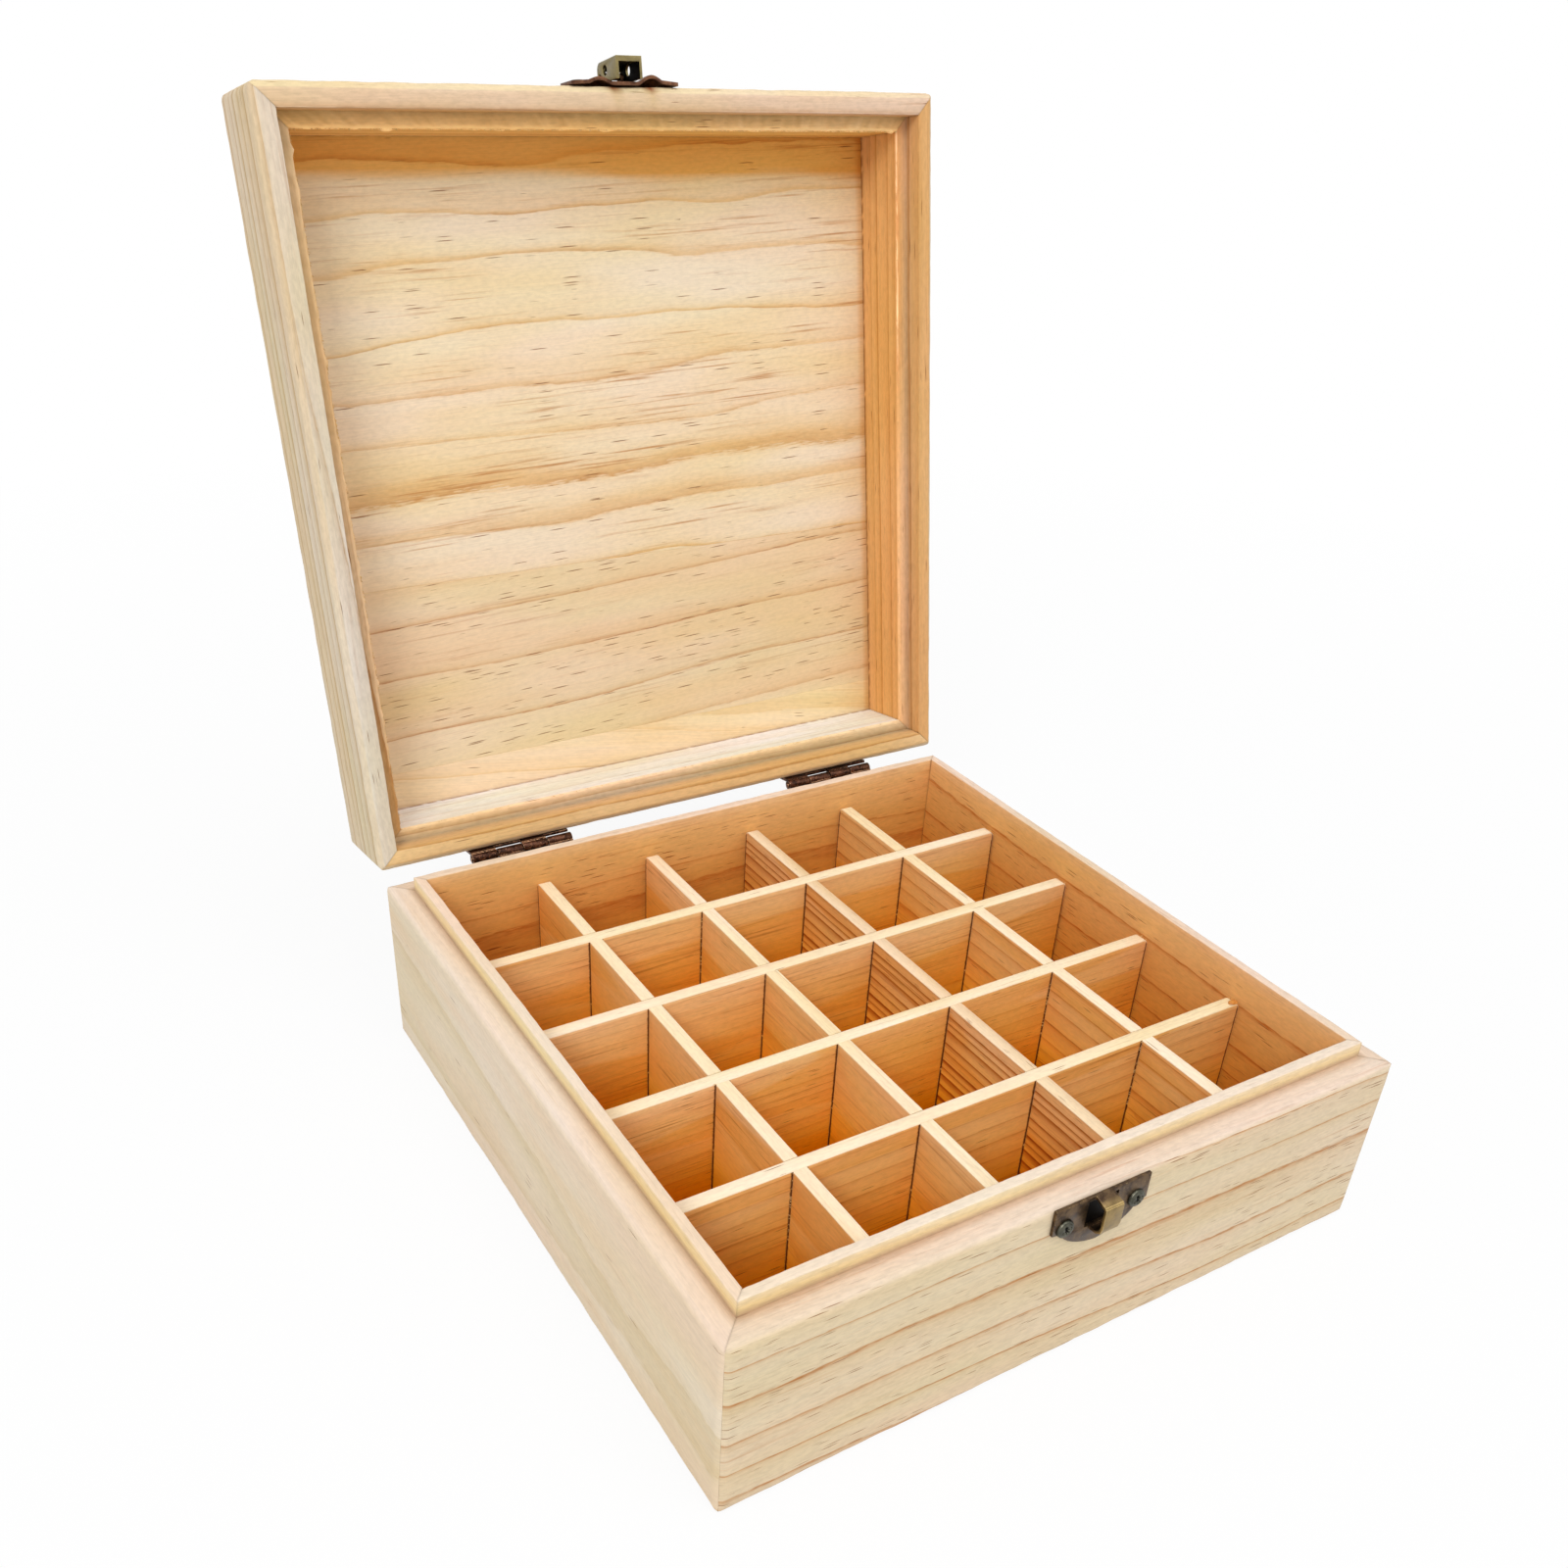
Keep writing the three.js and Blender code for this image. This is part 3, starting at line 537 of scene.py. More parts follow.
def wood_finishes():
    """The kinds of pine. Each has its light wood, its dark wood and its lines, as screen colours."""
    pine_group()
    return {
        "wall": pine(
            "pale_wall_pine", (222, 203, 175), (208, 174, 132), (180, 118, 62), spacing=9.0, waves=5.5,
            flecks=1.2, ring_depth=0.5, line_depth=1.0, mottled=0.045, raggedness=0.1,
            cloud_tint=(0.95, 0.96, 0.87), blush_tint=(1.0, 0.96, 0.94)),
        "smooth_wall": pine(
            "smooth_wall_pine", (226, 210, 184), (212, 193, 152), (200, 172, 126), spacing=11.0, waves=5.0,
            flecks=0.1, ring_depth=0.55, line_depth=0.25, mottled=0.03, cloud_tint=(0.97, 0.98, 0.91)),
        "lid_wall": pine(
            "lid_wall_pine", (232, 212, 184), (206, 174, 130), (180, 128, 82), spacing=4.2, waves=2.5,
            flecks=0.3, ring_depth=1.0, line_depth=0.5, mottled=0.05),
        "lid_board": pine(
            "lid_board_pine", (237, 221, 195), (225, 191, 141), (186, 126, 68), spacing=12.0, waves=13.0,
            flecks=0.25, ring_depth=1.0, line_depth=0.6, streak_depth=0.8, raggedness=0.1, faintness=0.95,
            mottled=0.04, cloud_tint=(0.98, 0.96, 0.8), blush_tint=(1.0, 0.94, 0.9)),
        "lid_board_flecked": pine(
            "flecked_lid_board_pine", (234, 213, 181), (218, 182, 136), (172, 104, 60), spacing=15.0,
            waves=6.0, flecks=1.9, raggedness=0.14, faintness=0.5, mottled=0.03),
        "lid_board_yellow": pine(
            "yellow_lid_board_pine", (242, 222, 192), (234, 205, 160), (210, 164, 100), spacing=9.0,
            waves=12.0, flecks=0.15, line_depth=0.4, zone_tint=(1.0, 0.98, 0.9), faintness=0.5,
            mottled=0.03),
        "bottom_board": pine(
            "bottom_board_pine", (226, 206, 170), (204, 172, 126), (168, 126, 80), spacing=7.0, waves=5.0,
            flecks=0.4),
        # On the dividers, inner paints shade and warm bounce light down into the cells
        "divider": pine(
            "divider_pine", (246, 202, 148), (216, 146, 76), (164, 88, 30), spacing=4.6, flecks=0.25,
            line_depth=0.7, streak_depth=0.6, raggedness=0.1, mottled=0.04, zone_tint=(0.96, 0.84, 0.6),
            gloss=0.08, joints=True, inner=((1.18, 0.91, 0.0), 43.0, 12.0)),
        "divider_edge": pine(
            "divider_edge_pine", (250, 234, 208), (242, 212, 170), (206, 156, 104), spacing=3.2, waves=2.0,
            flecks=0.15, line_depth=0.4, mottled=0.04, gloss=0.1, inner=((0.9, 0.6, 0.24), 42.6, 34.0)),
        "fibre": pine(
            "torn_fibre_pine", (232, 200, 144), (210, 168, 106), (186, 138, 84), spacing=2.0, flecks=0.0),
    }


# Aged bronze: dark brown patches over tan metal, and a rubbed one for its edges, partly lighter there as a
# painted highlight

def bronze(name, dark, brown, bright, roughness, rubbed=0.0, proud=0.0, recessed=False):
    """proud is how much of the bright metal shows on the nose that stands out in front of the box, as a
    painted highlight on its front. recessed paints shadow on what lies deep in a screw head, by its
    attribute "recess"."""
    material = new_material(name)
    tree = material.node_tree
    bright = paint(bright)
    spot = stretched(object_place(tree), 1 / MM, 1 / MM)
    patches = grain_noise(spot, 0.55, 0.55, 4.0, 0.6)
    scuffs = grain_noise(spot, 2.1, 2.1, 3.0, 0.7)
    grit = grain_noise(spot, 5.0, 5.0)
    nose_start, nose_end = 2.2, 4.2
    relief, relief_depth = 0.25, 0.05
    low = 0.62 - rubbed * 0.4
    colour = mix(ramp(patches, (0.38, 0.0), (0.62, 1.0)), paint(dark), paint(brown))
    colour = mix(ramp(scuffs, (low, 0.0), (low + 0.16, 1.0)), colour, bright)
    # Painted highlight on the front of the nose
    if proud:
        out = add(tree, "ShaderNodeSeparateXYZ", {0: spot})["Y"] * -1.0
        front = ranged(out, BOX_HALF + nose_start, BOX_HALF + nose_end)
        colour = mix(front * calc("MULTIPLY_ADD", patches, 0.8, proud - 0.4), colour, bright)
    if recessed:
        colour = mix(stored(tree, "recess")["Fac"], colour, paint(RECESS_SHADOW))
    rough = calc("MULTIPLY_ADD", patches, 0.3, roughness - 0.15)
    coat(tree, {"Base Color": colour, "Roughness": rough, "Metallic": 0.9},
         (grit, relief, relief_depth * MM))
    return material


def metal_finishes():
    """The kinds of metal, with a rubbed one for the edges of each sheet piece, which also carries painted
    highlights, and a black one of painted shade.
    """
    looks = {
        "catch": ("catch_bronze", (66, 50, 38), (108, 86, 62), (176, 150, 96), 0.36, 0.0, 0.6),
        # Edge finishes: rubbed metal, and on the catch, the cap and the hinges also a painted highlight
        "catch_edge": (
            "rubbed_catch_bronze", (84, 58, 42), (128, 98, 66), (226, 196, 132), 0.32, 0.2, 0.95),
        "cap": ("cap_bronze", (120, 108, 74), (138, 124, 84), (170, 154, 96), 0.36),
        "cap_edge": ("rubbed_cap_bronze", (150, 136, 80), (178, 162, 92), (216, 200, 110), 0.32, 0.2),
        "strap": ("strap_bronze", (86, 56, 42), (124, 86, 62), (160, 120, 88), 0.4),
        "strap_edge": ("rubbed_strap_bronze", (70, 46, 34), (104, 72, 50), (150, 114, 76), 0.36),
        "dark": ("dark_bronze", (44, 26, 20), (96, 62, 46), (168, 118, 88), 0.36, 0.15),
        "dark_edge": ("rubbed_dark_bronze", (70, 46, 36), (124, 84, 62), (206, 160, 122), 0.32, 0.5),
        # Painted shade: black for inside the cap and behind the catch's window
        "shadow": ("blackened_bronze", (16, 13, 12), (30, 24, 20), (50, 40, 32), 0.6),
        "screw": ("screw_steel", (72, 72, 62), (96, 94, 82), (136, 132, 114), 0.34, 0.0, 0.0, True),
    }
    return {key: bronze(*look) for key, look in looks.items()}


# Outlines

def neighbours(outline, index):
    """The points before and after a point of a closed outline."""
    return Vector(outline[index - 1][:2]), Vector(outline[(index + 1) % len(outline)][:2])


def eased(corners, steps=3):
    """Closed outline with its corners rounded. A corner is (across, up, rounding). Gives a list of
    (across, up, share of edge), where the share is 1 on a rounding and 0 on a flat."""
    outline = []
    for index, (across, up, rounding) in enumerate(corners):
        if not rounding:
            outline.append((across, up, 0.0))
            continue
        here = Vector((across, up))
        before, after = neighbours(corners, index)
        start = here + (before - here).normalized() * rounding
        end = here + (after - here).normalized() * rounding
        for step in range(steps + 1):
            share = step / steps
            point = start * (1 - share) ** 2 + here * 2 * share * (1 - share) + end * share ** 2
            outline.append((point.x, point.y, 1.0))
    return outline


def divided(outline, longest):
    """The outline with points added so that no flat is longer than longest."""
    result = []
    for index, (across, up, edge) in enumerate(outline):
        next_across, next_up, _ = outline[(index + 1) % len(outline)]
        result.append((across, up, edge))
        count = int(math.dist((across, up), (next_across, next_up)) / longest)
        for step in range(1, count + 1):
            share = step / (count + 1)
            result.append((across + (next_across - across) * share, up + (next_up - up) * share, 0.0))
    return result


def outward(outline):
    """Unit normals of a closed outline, away from its inside."""
    area = sum(a[0] * b[1] - b[0] * a[1] for a, b in zip(outline, outline[1:] + outline[:1]))
    turn = 1 if area > 0 else -1
    normals = []
    for index in range(len(outline)):
        before, after = neighbours(outline, index)
        along = (after - before).normalized()
        normals.append(Vector((along.y, -along.x)) * turn)
    return normals


# Rails: four mitred ones make the frame of the base, and four the frame of the lid

BASE_PROFILE = divided(eased([
    (FOOT_BEVEL, 0.0, 0.35),
    (PANEL_INSET, 0.0, 0.2),
    (PANEL_INSET, BOTTOM_TOP, 0.0),
    (WALL, BOTTOM_TOP, 0.0),
    (WALL, TONGUE_TOP, 0.4),
    (TONGUE_INSET, TONGUE_TOP, 0.4),
    (TONGUE_INSET, BASE_HEIGHT, 0.0),
    (BASE_BEVEL, BASE_HEIGHT, 0.75),
    (0.0, BASE_HEIGHT - BASE_BEVEL, 0.75),
    (0.0, FOOT_BEVEL, 0.55),
]), LONGEST_FLAT)

# The points on the inside at 1 mm and 1.2 mm from the ends only keep a change of tint narrow
LID_PROFILE = divided(eased([
    (RIM_BEVEL, RIM_HEIGHT, 0.6),
    (RABBET_INSET, RIM_HEIGHT, 0.3),
    (RABBET_INSET, RABBET_TOP, 0.0),
    (WALL - 1.0, RABBET_TOP, 0.0),
    (WALL, RABBET_TOP, 0.45),
    (WALL, RABBET_TOP + 1.0, 0.0),
    (WALL, LID_PANEL_LOW - 1.2, 0.0),
    (WALL, LID_PANEL_LOW, 0.0),
    (PANEL_INSET, LID_PANEL_LOW, 0.0),
    (PANEL_INSET, LID_TOP, 0.25),
    (LID_TOP_BEVEL, LID_TOP, 0.75),
    (0.0, LID_TOP - LID_TOP_BEVEL, 0.75),
    (0.0, RIM_HEIGHT + RIM_BEVEL, 0.6),
]), LONGEST_FLAT)

# Each base rail: lean of the grain (rise, dive), shift from the pith, finish, and the tints of its
# outer face and of the tongue's top
BASE_RAILS = {
    "front": ((1.6, 1.0), (40, 30, 38), "wall", WHITE, (1.15, 1.2, 1.36)),
    "right": ((-1.2, 1.2), (400, -22, 30), "wall", (1.0, 0.99, 0.97), (1.12, 1.09, 1.22)),
    "back": ((0.8, -1.0), (800, 40, 60), "wall", (1.0, 0.98, 0.95), (1.12, 1.09, 1.22)),
    "left": ((1.0, 0.6), (1200, 34, -20), "smooth_wall", (1.02, 1.01, 1.06), (1.12, 1.09, 1.22)),
}

# Each lid rail: lean, shift, how far its lip is frayed in millimetres, then the tints of its outer
# face, rim, rabbet, ledge and inside, how rough its ledge looks, how strong the growth lines are on
# its inside, and the places along it where its rim carries brown marks
LID_RAILS = {
    "front": ((0.8, 1.0), (100, 26, -90), 0.5, (1, 0.98, 0.94), (0.91, 0.83, 0.86), (0.85, 0.66, 0.46),
              (1.22, 1.0, 0.64), (1.1, 0.86, 0.42), 0.1, 1.0, (-4.0, 5.8)),
    "right": ((0.6, 0.8), (500, 20, -110), 0.15, (1, 0.96, 0.9), (0.93, 0.68, 0.42), (0.9, 0.68, 0.46),
              (1.36, 1.14, 1.0), (1.04, 0.72, 0.4), 0.03, 1.0, ()),
    "back": ((0.4, -0.8), (900, -60, -95), 0.2, (1, 0.98, 0.94), (1.02, 0.85, 0.6), (0.9, 0.74, 0.56),
             (1.06, 1.0, 0.94), (1.1, 1.34, 1.85), 0.04, 0.3, ()),
    "left": ((-0.8, 0.7), (1300, 24, -120), 0.5, (0.89, 0.92, 0.97), (0.87, 0.96, 1.14), (0.9, 0.76, 0.6),
             (0.98, 0.86, 0.7), (0.9, 0.72, 0.52), 0.06, 1.0, ()),
}


def blended(low, high, share):
    """The way from one colour to another, which stops at both."""
    share = clamped(share)
    return tuple(a + (b - a) * share for a, b in zip(low, high))


def product(one, two):
    return tuple(a * b for a, b in zip(one, two))


def base_tint(outer, tongue_top):
    """Tint of a base rail by where on its profile a point lies. Fades are in millimetres, here and in
    the lid's tint: a height less its start, over the reach of the fade."""
    # Painted shade on the bevel along the bottom
    bottom_bevel_shade = (0.88, 0.72, 0.6)
    ledge = (1.07, 1.06, 1.2)
    tongue_side = (1.16, 1.1, 0.84)
    # Painted shadow in the crease where the tongue meets the ledge
    tongue_foot_shadow = (0.66, 0.5, 0.38)
    # Painted shade and warm bounce light on the inside, fullest low in the cells
    upper_cell_bounce_shade = (1.19, 0.85, 0.46)
    lower_cell_bounce_shade = (1.04, 0.52, 0.06)
    full_cell_shade_height = 8
    ledge_speckle = 0.08

    def tint(inset, height, along, from_mitre):
        on_ledge = (height - BASE_HEIGHT + BASE_BEVEL) / 0.8
        if height > BASE_HEIGHT + 0.3 and inset < WALL - 0.4:
            side = blended(tongue_foot_shadow, tongue_side, (height - BASE_HEIGHT) / 0.9)
            shade = blended(side, tongue_top, (height - TONGUE_TOP + 0.6) / 0.5)
        elif inset > WALL - 0.4:
            up = max((height - full_cell_shade_height) / (BASE_HEIGHT - full_cell_shade_height), 0.0)
            shade = blended(lower_cell_bounce_shade, upper_cell_bounce_shade, up ** 1.6)
            shade = blended(shade, tongue_top, (height - TONGUE_TOP + 0.5) / 0.5)
        elif height > BASE_HEIGHT - BASE_BEVEL:
            shade = blended(outer, ledge, on_ledge)
            shade = blended(shade, tongue_foot_shadow, (inset - TONGUE_INSET + 0.35) / 0.5)
        else:
            shade = blended(bottom_bevel_shade, outer, (height - 0.3) / 1.3)
        line = blended((0.78,) * 3, WHITE, from_mitre / 0.5)
        return product(shade, line) + blended((1.0,), (ledge_speckle,), on_ledge)

    return tint


def lid_tint(outer, rim, rabbet, ledge, inner, speckle, inner_stripes, mark_places):
    """Tint of a lid rail by where on its profile a point lies, one tint for each of its faces."""
    # At each given place the rim gets a brown mark in a paler patch
    brown_mark = (0.36, 0.12, 0.06)
    pale_mark = (0.93, 0.9, 0.78)
    lip = tuple(value * 1.16 for value in ledge)
    # Painted shade in the crease where the ledge meets the rabbet's wall
    ledge_foot_shade = tuple(value * 0.62 for value in ledge)
    # Painted shadow in the gap where the panel meets the rail
    panel_gap_shadow = (0.4, 0.2, 0.08)
    mark_reach = 1.5

    def tint(inset, height, along, from_mitre):
        stripes = 1.0
        if height < RIM_HEIGHT + 0.3 and inset > RIM_BEVEL - 0.4:
            shade = rim
        elif inset > RABBET_INSET - 0.4 and height < RABBET_TOP - 0.2 and inset < RABBET_INSET + 0.3:
            shade = blended(rim, rabbet, (height - RIM_HEIGHT) / 0.8)
        elif inset >= RABBET_INSET and height < RABBET_TOP + 0.4 and inset < WALL - 0.5:
            rough = 1 + speckle * (noise.noise(Vector((along * 1.1, inset * 1.7, 9.0))) * 2 - 0.15)
            shade = blended(ledge_foot_shade, ledge, (inset - RABBET_INSET) / 0.7)
            shade = product(shade, (rough ** 0.7, rough, rough ** 1.5))
        elif inset > WALL - 0.6:
            ragged = max(0.6 + noise.noise(Vector((along * 0.5, inset, 4.0))), 0.1)
            shade = blended(lip, inner, (height - RABBET_TOP - 0.3) / 0.5)
            shade = blended(shade, panel_gap_shadow, ragged * (height - LID_PANEL_LOW + 0.5) / 0.3)
            stripes = inner_stripes if height > RABBET_TOP + 0.3 else 1.0
        else:
            shade = outer
        for mark_place in mark_places:
            near = math.exp(-((along - mark_place) / mark_reach) ** 2)
            if height < RIM_HEIGHT + 2.5:
                mark = blended(WHITE, pale_mark, near * (1.6 - inset / 3.5))
                shade = product(shade, blended(mark, brown_mark, near * (1.25 - inset / 1.6)))
        return product(shade, blended((0.8,) * 3, WHITE, from_mitre / 0.5)) + (stripes,)

    return tint


def corner_rounding(from_end):
    """How far a rail's outer face draws back at a distance from the box's corner."""
    if from_end >= CORNER_ROUND:
        return 0.0
    return CORNER_ROUND - math.sqrt(max(CORNER_ROUND ** 2 - (CORNER_ROUND - from_end) ** 2, 0.0))


def rail_stations(reach):
    """Places along a rail, from end to end, close together at the ends."""
    inner = reach - END_STATIONS[-1]
    count = round(inner / STATION_PITCH)
    half = [inner * step / count for step in range(count)] + [reach - gap for gap in reversed(END_STATIONS)]
    return [-place for place in reversed(half[1:])] + half


def wear(spot, edge):
    """How much wood is worn off at a spot, more on an edge than on a flat, in millimetres."""
    on_edge, on_flat = 0.13, 0.02
    fine_share, fineness = 0.4, 5.1
    most = on_edge * edge + on_flat
    return most * max(0.5 + noise.noise(spot) + fine_share * noise.noise(spot * fineness), 0.0)


def rail_mesh(name, number, profile, mitre_gap, lean, shift, tint_of, material, turn, frayed=0.0):
    """One mitred rail of a frame, drawn at the front and turned by its number of quarters."""
    slow, quick, lip = 0.16, 0.4, 0.5
    corner_cut = CORNER_ROUND * (1 - math.sqrt(0.5))
    angle = number * QUARTER
    about = Matrix.Rotation(angle, 4, "Z")
    rise, dive = (math.tan(math.radians(degrees)) for degrees in lean)
    points, boards, tints = [], [], []
    stations = rail_stations(BOX_HALF)
    for station in stations:
        for (inset, height, edge), normal in zip(profile, outward(profile)):
            along = station / BOX_HALF * (BOX_HALF - max(inset, corner_cut) - mitre_gap)
            rounded = max(inset, corner_rounding(BOX_HALF - abs(along)))
            spot = Vector((along * slow, inset * quick + angle, height * quick))
            worn = wear(spot, edge)
            if abs(inset - WALL) < lip and abs(height - RABBET_TOP) < lip:
                tuft = noise.noise(Vector((along * 0.9, angle, height))) + noise.noise(spot * 1.7)
                worn = -frayed * max(tuft + 0.1, 0.0)
            inset_worn = max(rounded - normal.x * worn, rounded if normal.x < 0 else 0)
            place = about @ Vector((along, inset_worn - BOX_HALF, height - normal.y * worn))
            points.append(turn @ place)
            across = inset + shift[1] + along * dive
            boards.append((along + shift[0], across, height + shift[2] + along * rise))
            tints.append(tint_of(inset, height, along, BOX_HALF - inset - abs(along)))
    count = len(profile)
    ends = [ring_face(0, count), ring_face(len(stations) - 1, count)]
    return wood_mesh(name, points, tube_faces(len(stations), count) + ends, boards, tints, [material])


def add_base_rails(wood):
    for number, (side, (lean, shift, finish, *tints)) in enumerate(BASE_RAILS.items()):
        mesh = rail_mesh(f"base_{side}_rail", number, BASE_PROFILE, BASE_MITRE_GAP, lean, shift,
                         base_tint(*tints), wood[finish], BASE_TURN)
        add_piece(mesh, "base", [f"base_{side}_wall"])


def add_lid_rails(wood):
    for number, (side, (lean, shift, frayed, *tints)) in enumerate(LID_RAILS.items()):
        mesh = rail_mesh(f"lid_{side}_rail", number, LID_PROFILE, LID_MITRE_GAP, lean, shift,
                         lid_tint(*tints), wood["lid_wall"], LID_TURN, frayed)
        add_piece(mesh, "lid", [f"lid_{side}_wall"])


# Boards

def grid_lines(first, last, ease, pitch):
    """Places from first to last, with an eased edge at both ends and even steps between."""
    inner = last - first - 2 * ease
    count = max(round(inner / pitch), 1)
    return [first] + [first + ease + inner * step / count for step in range(count + 1)] + [last]


def quads(starts, one, two):
    """Faces of four points each: a start, the points that lie one and two further, and their opposite."""
    return [(start, start + one, start + one + two, start + two) for start in starts]


def board_strip(start, end, low, high, pitch):
    """One strip of a glued-up board, with eased edges, as a grid of points on both broad faces. It
    runs across the whole board along X, and from start to end along Y."""
    rows = grid_lines(start, end, PANEL_EASE, pitch)
    columns = grid_lines(-PANEL_HALF, PANEL_HALF, PANEL_EASE, pitch)
    points = []
    for level, drop in ((low, PANEL_EASE), (high, -PANEL_EASE)):
        for across in rows:
            for along in columns:
                at_edge = across in (start, end) or along in (-PANEL_HALF, PANEL_HALF)
                points.append(Vector((along, across, level + (drop if at_edge else 0))))
    wide, tall = len(columns), len(rows)
    layer = wide * tall
    faces = quads([first + row * wide + column for first in (0, layer)
                   for row in range(tall - 1) for column in range(wide - 1)], 1, wide)
    faces += quads([column + edge for column in range(wide - 1) for edge in (0, layer - wide)], 1, layer)
    faces += quads([row * wide + edge for row in range(tall - 1) for edge in (0, wide - 1)], wide, layer)
    return points, faces


def glued_board(name, strips, low, high, pitch, tint_of, materials, turn):
    """A board of several strips. A strip is (start, end, rise, shift from the pith, material number)."""
    points, faces, boards, slots = [], [], [], []
    for start, end, rise, shift, slot in strips:
        strip_points, strip_faces = board_strip(start, end, low, high, pitch)
        faces += [tuple(len(points) + corner for corner in face) for face in strip_faces]
        points += strip_points
        slots += [slot] * len(strip_faces)
        slope = math.tan(math.radians(rise))
        boards += [(point.x + shift[0], point.z - low + shift[1], point.y + shift[2] + point.x * slope)
                   for point in strip_points]
    tints = [tint_of(point) for point in points]
    return wood_mesh(name, [turn @ point for point in points], faces, boards, tints, materials, slots)


def add_bottom_board(wood):
    seam, pitch = -20.0, 12.0
    strips = ((-PANEL_HALF, seam, 1.0, (0, 40, 120), 0), (seam, PANEL_HALF, -0.6, (400, 30, 20), 0))

    def tint(point):
        # The top face, inside the cells, gets painted shade and warm bounce light
        return (1.0, 0.58, 0.22, 1.0) if point.z > BOTTOM_TOP / 2 else (*WHITE, 1.0)

    materials = [wood["bottom_board"]]
    mesh = glued_board("bottom_board", strips, 0.0, BOTTOM_TOP, pitch, tint, materials, BASE_TURN)
    add_piece(mesh, "base", ["base_bottom_panel"])


def lid_board_tint(point):
    """The lid board has painted shade beside the rails, and most of all a painted shadow in a ragged band
    along the front one, with a painted warm glow just past that band.
    """
    band, waver, wave_rate, slant = 8.0, 1.2, 0.025, 0.012
    if point.z > LID_TOP - 1:
        return (*WHITE, 1.0)
    beside = BOX_HALF - WALL - abs(point.x)
    front = point.y + BOX_HALF - WALL
    edge = band + waver * noise.noise(Vector((point.x * wave_rate, 0, 0))) + point.x * slant
    shade = blended((0.86, 0.6, 0.34), WHITE, beside / 2.5)
    front_shadow = blended((0.96, 0.64, 0.26), WHITE, (front - edge) / 1.8)
    warm_glow_past_shadow = blended((1.0, 0.98, 0.84), WHITE, (front - edge) / 10)
    return product(shade, product(front_shadow, warm_glow_past_shadow)) + (1.0,)


def add_lid_board(wood):
    first_seam, second_seam, pitch = 23.0, 73.5, 1.5
    strips = (
        (-PANEL_HALF, first_seam, 2.2, (0, 50, 150), 0),
        (first_seam, second_seam, 2.8, (300, 20, 90), 1),
        (second_seam, PANEL_HALF, -9.0, (700, 14, 30), 2),
    )
    materials = [wood["lid_board"], wood["lid_board_flecked"], wood["lid_board_yellow"]]
    mesh = glued_board("lid_board", strips, LID_PANEL_LOW + LID_PANEL_SEAT, LID_TOP, pitch, lid_board_tint,
                       materials, LID_TURN)
    add_piece(mesh, "lid", ["lid_top_panel"])


# Dividers

def divider_middles():
    """Where the middles of the dividers of one row lie, from the first to the last."""
    return [(index - (DIVIDER_COUNT - 1) / 2) * DIVIDER_PITCH for index in range(DIVIDER_COUNT)]


def torn_edge(across, start, end, chance, depth):
    """Points up or down a slot's side, with bites that tear into the wood. depth is signed."""
    count, bitten = 26, 0.7
    points = []
    for step in range(1, count):
        bite = depth * chance.random() ** 3 if chance.random() < bitten else 0.0
        points.append((across + bite, start + (end - start) * step / count))
    return points


def rounded_end(side):
    """The rounded upper corner of a divider, upwards at the right (1) and downwards at the left (-1)."""
    steps = 6
    points = []
    for step in range(steps + 1):
        angle = QUARTER * step / steps
        flat_way, up_way = (math.cos(angle), math.sin(angle))[::side]
        points.append((side * (DIVIDER_HALF_LENGTH - DIVIDER_ROUND * (1 - flat_way)),
                       DIVIDER_TOP - DIVIDER_ROUND * (1 - up_way)))
    return points


def divider_outline(from_below, chance):
    """Outline of a divider with its four slots, as (along, up)."""
    badly_torn, worst, least = 0.3, 0.9, 0.04
    outline = [(-DIVIDER_HALF_LENGTH, BOTTOM_TOP)]
    if from_below:
        lap = LAP_LEVEL + LAP_GAP / 2
        for middle in divider_middles():
            left, right = middle - SLOT_HALF, middle + SLOT_HALF
            outline += [(left, BOTTOM_TOP), (left, lap), (right, lap), (right, BOTTOM_TOP)]
    outline.append((DIVIDER_HALF_LENGTH, BOTTOM_TOP))
    outline += rounded_end(1)
    if not from_below:
        lap = LAP_LEVEL - LAP_GAP / 2
        for middle in reversed(divider_middles()):
            left, right = middle - SLOT_HALF, middle + SLOT_HALF
            torn = worst if chance.random() < badly_torn else least
            outline += [(right, DIVIDER_TOP)] + torn_edge(right, DIVIDER_TOP, lap, chance, torn)
            outline += [(right, lap), (left, lap)] + torn_edge(left, lap, DIVIDER_TOP, chance, -torn)
            outline.append((left, DIVIDER_TOP))
    return outline + rounded_end(-1)


def drawn_in(outline, distance):
    """The outline moved inwards by a distance, each corner along the middle of its angle."""
    result = []
    for index, point in enumerate(outline):
        here = Vector(point)
        before, after = neighbours(outline, index)
        before, after = (here - before).normalized(), (after - here).normalized()
        middle = (before + after).normalized() if (before + after).length > 1e-6 else after
        inward = Vector((-middle.y, middle.x))
        lean = max(inward.dot(Vector((-before.y, before.x))), 0.4)
        result.append(here + inward * distance / lean)
    return result


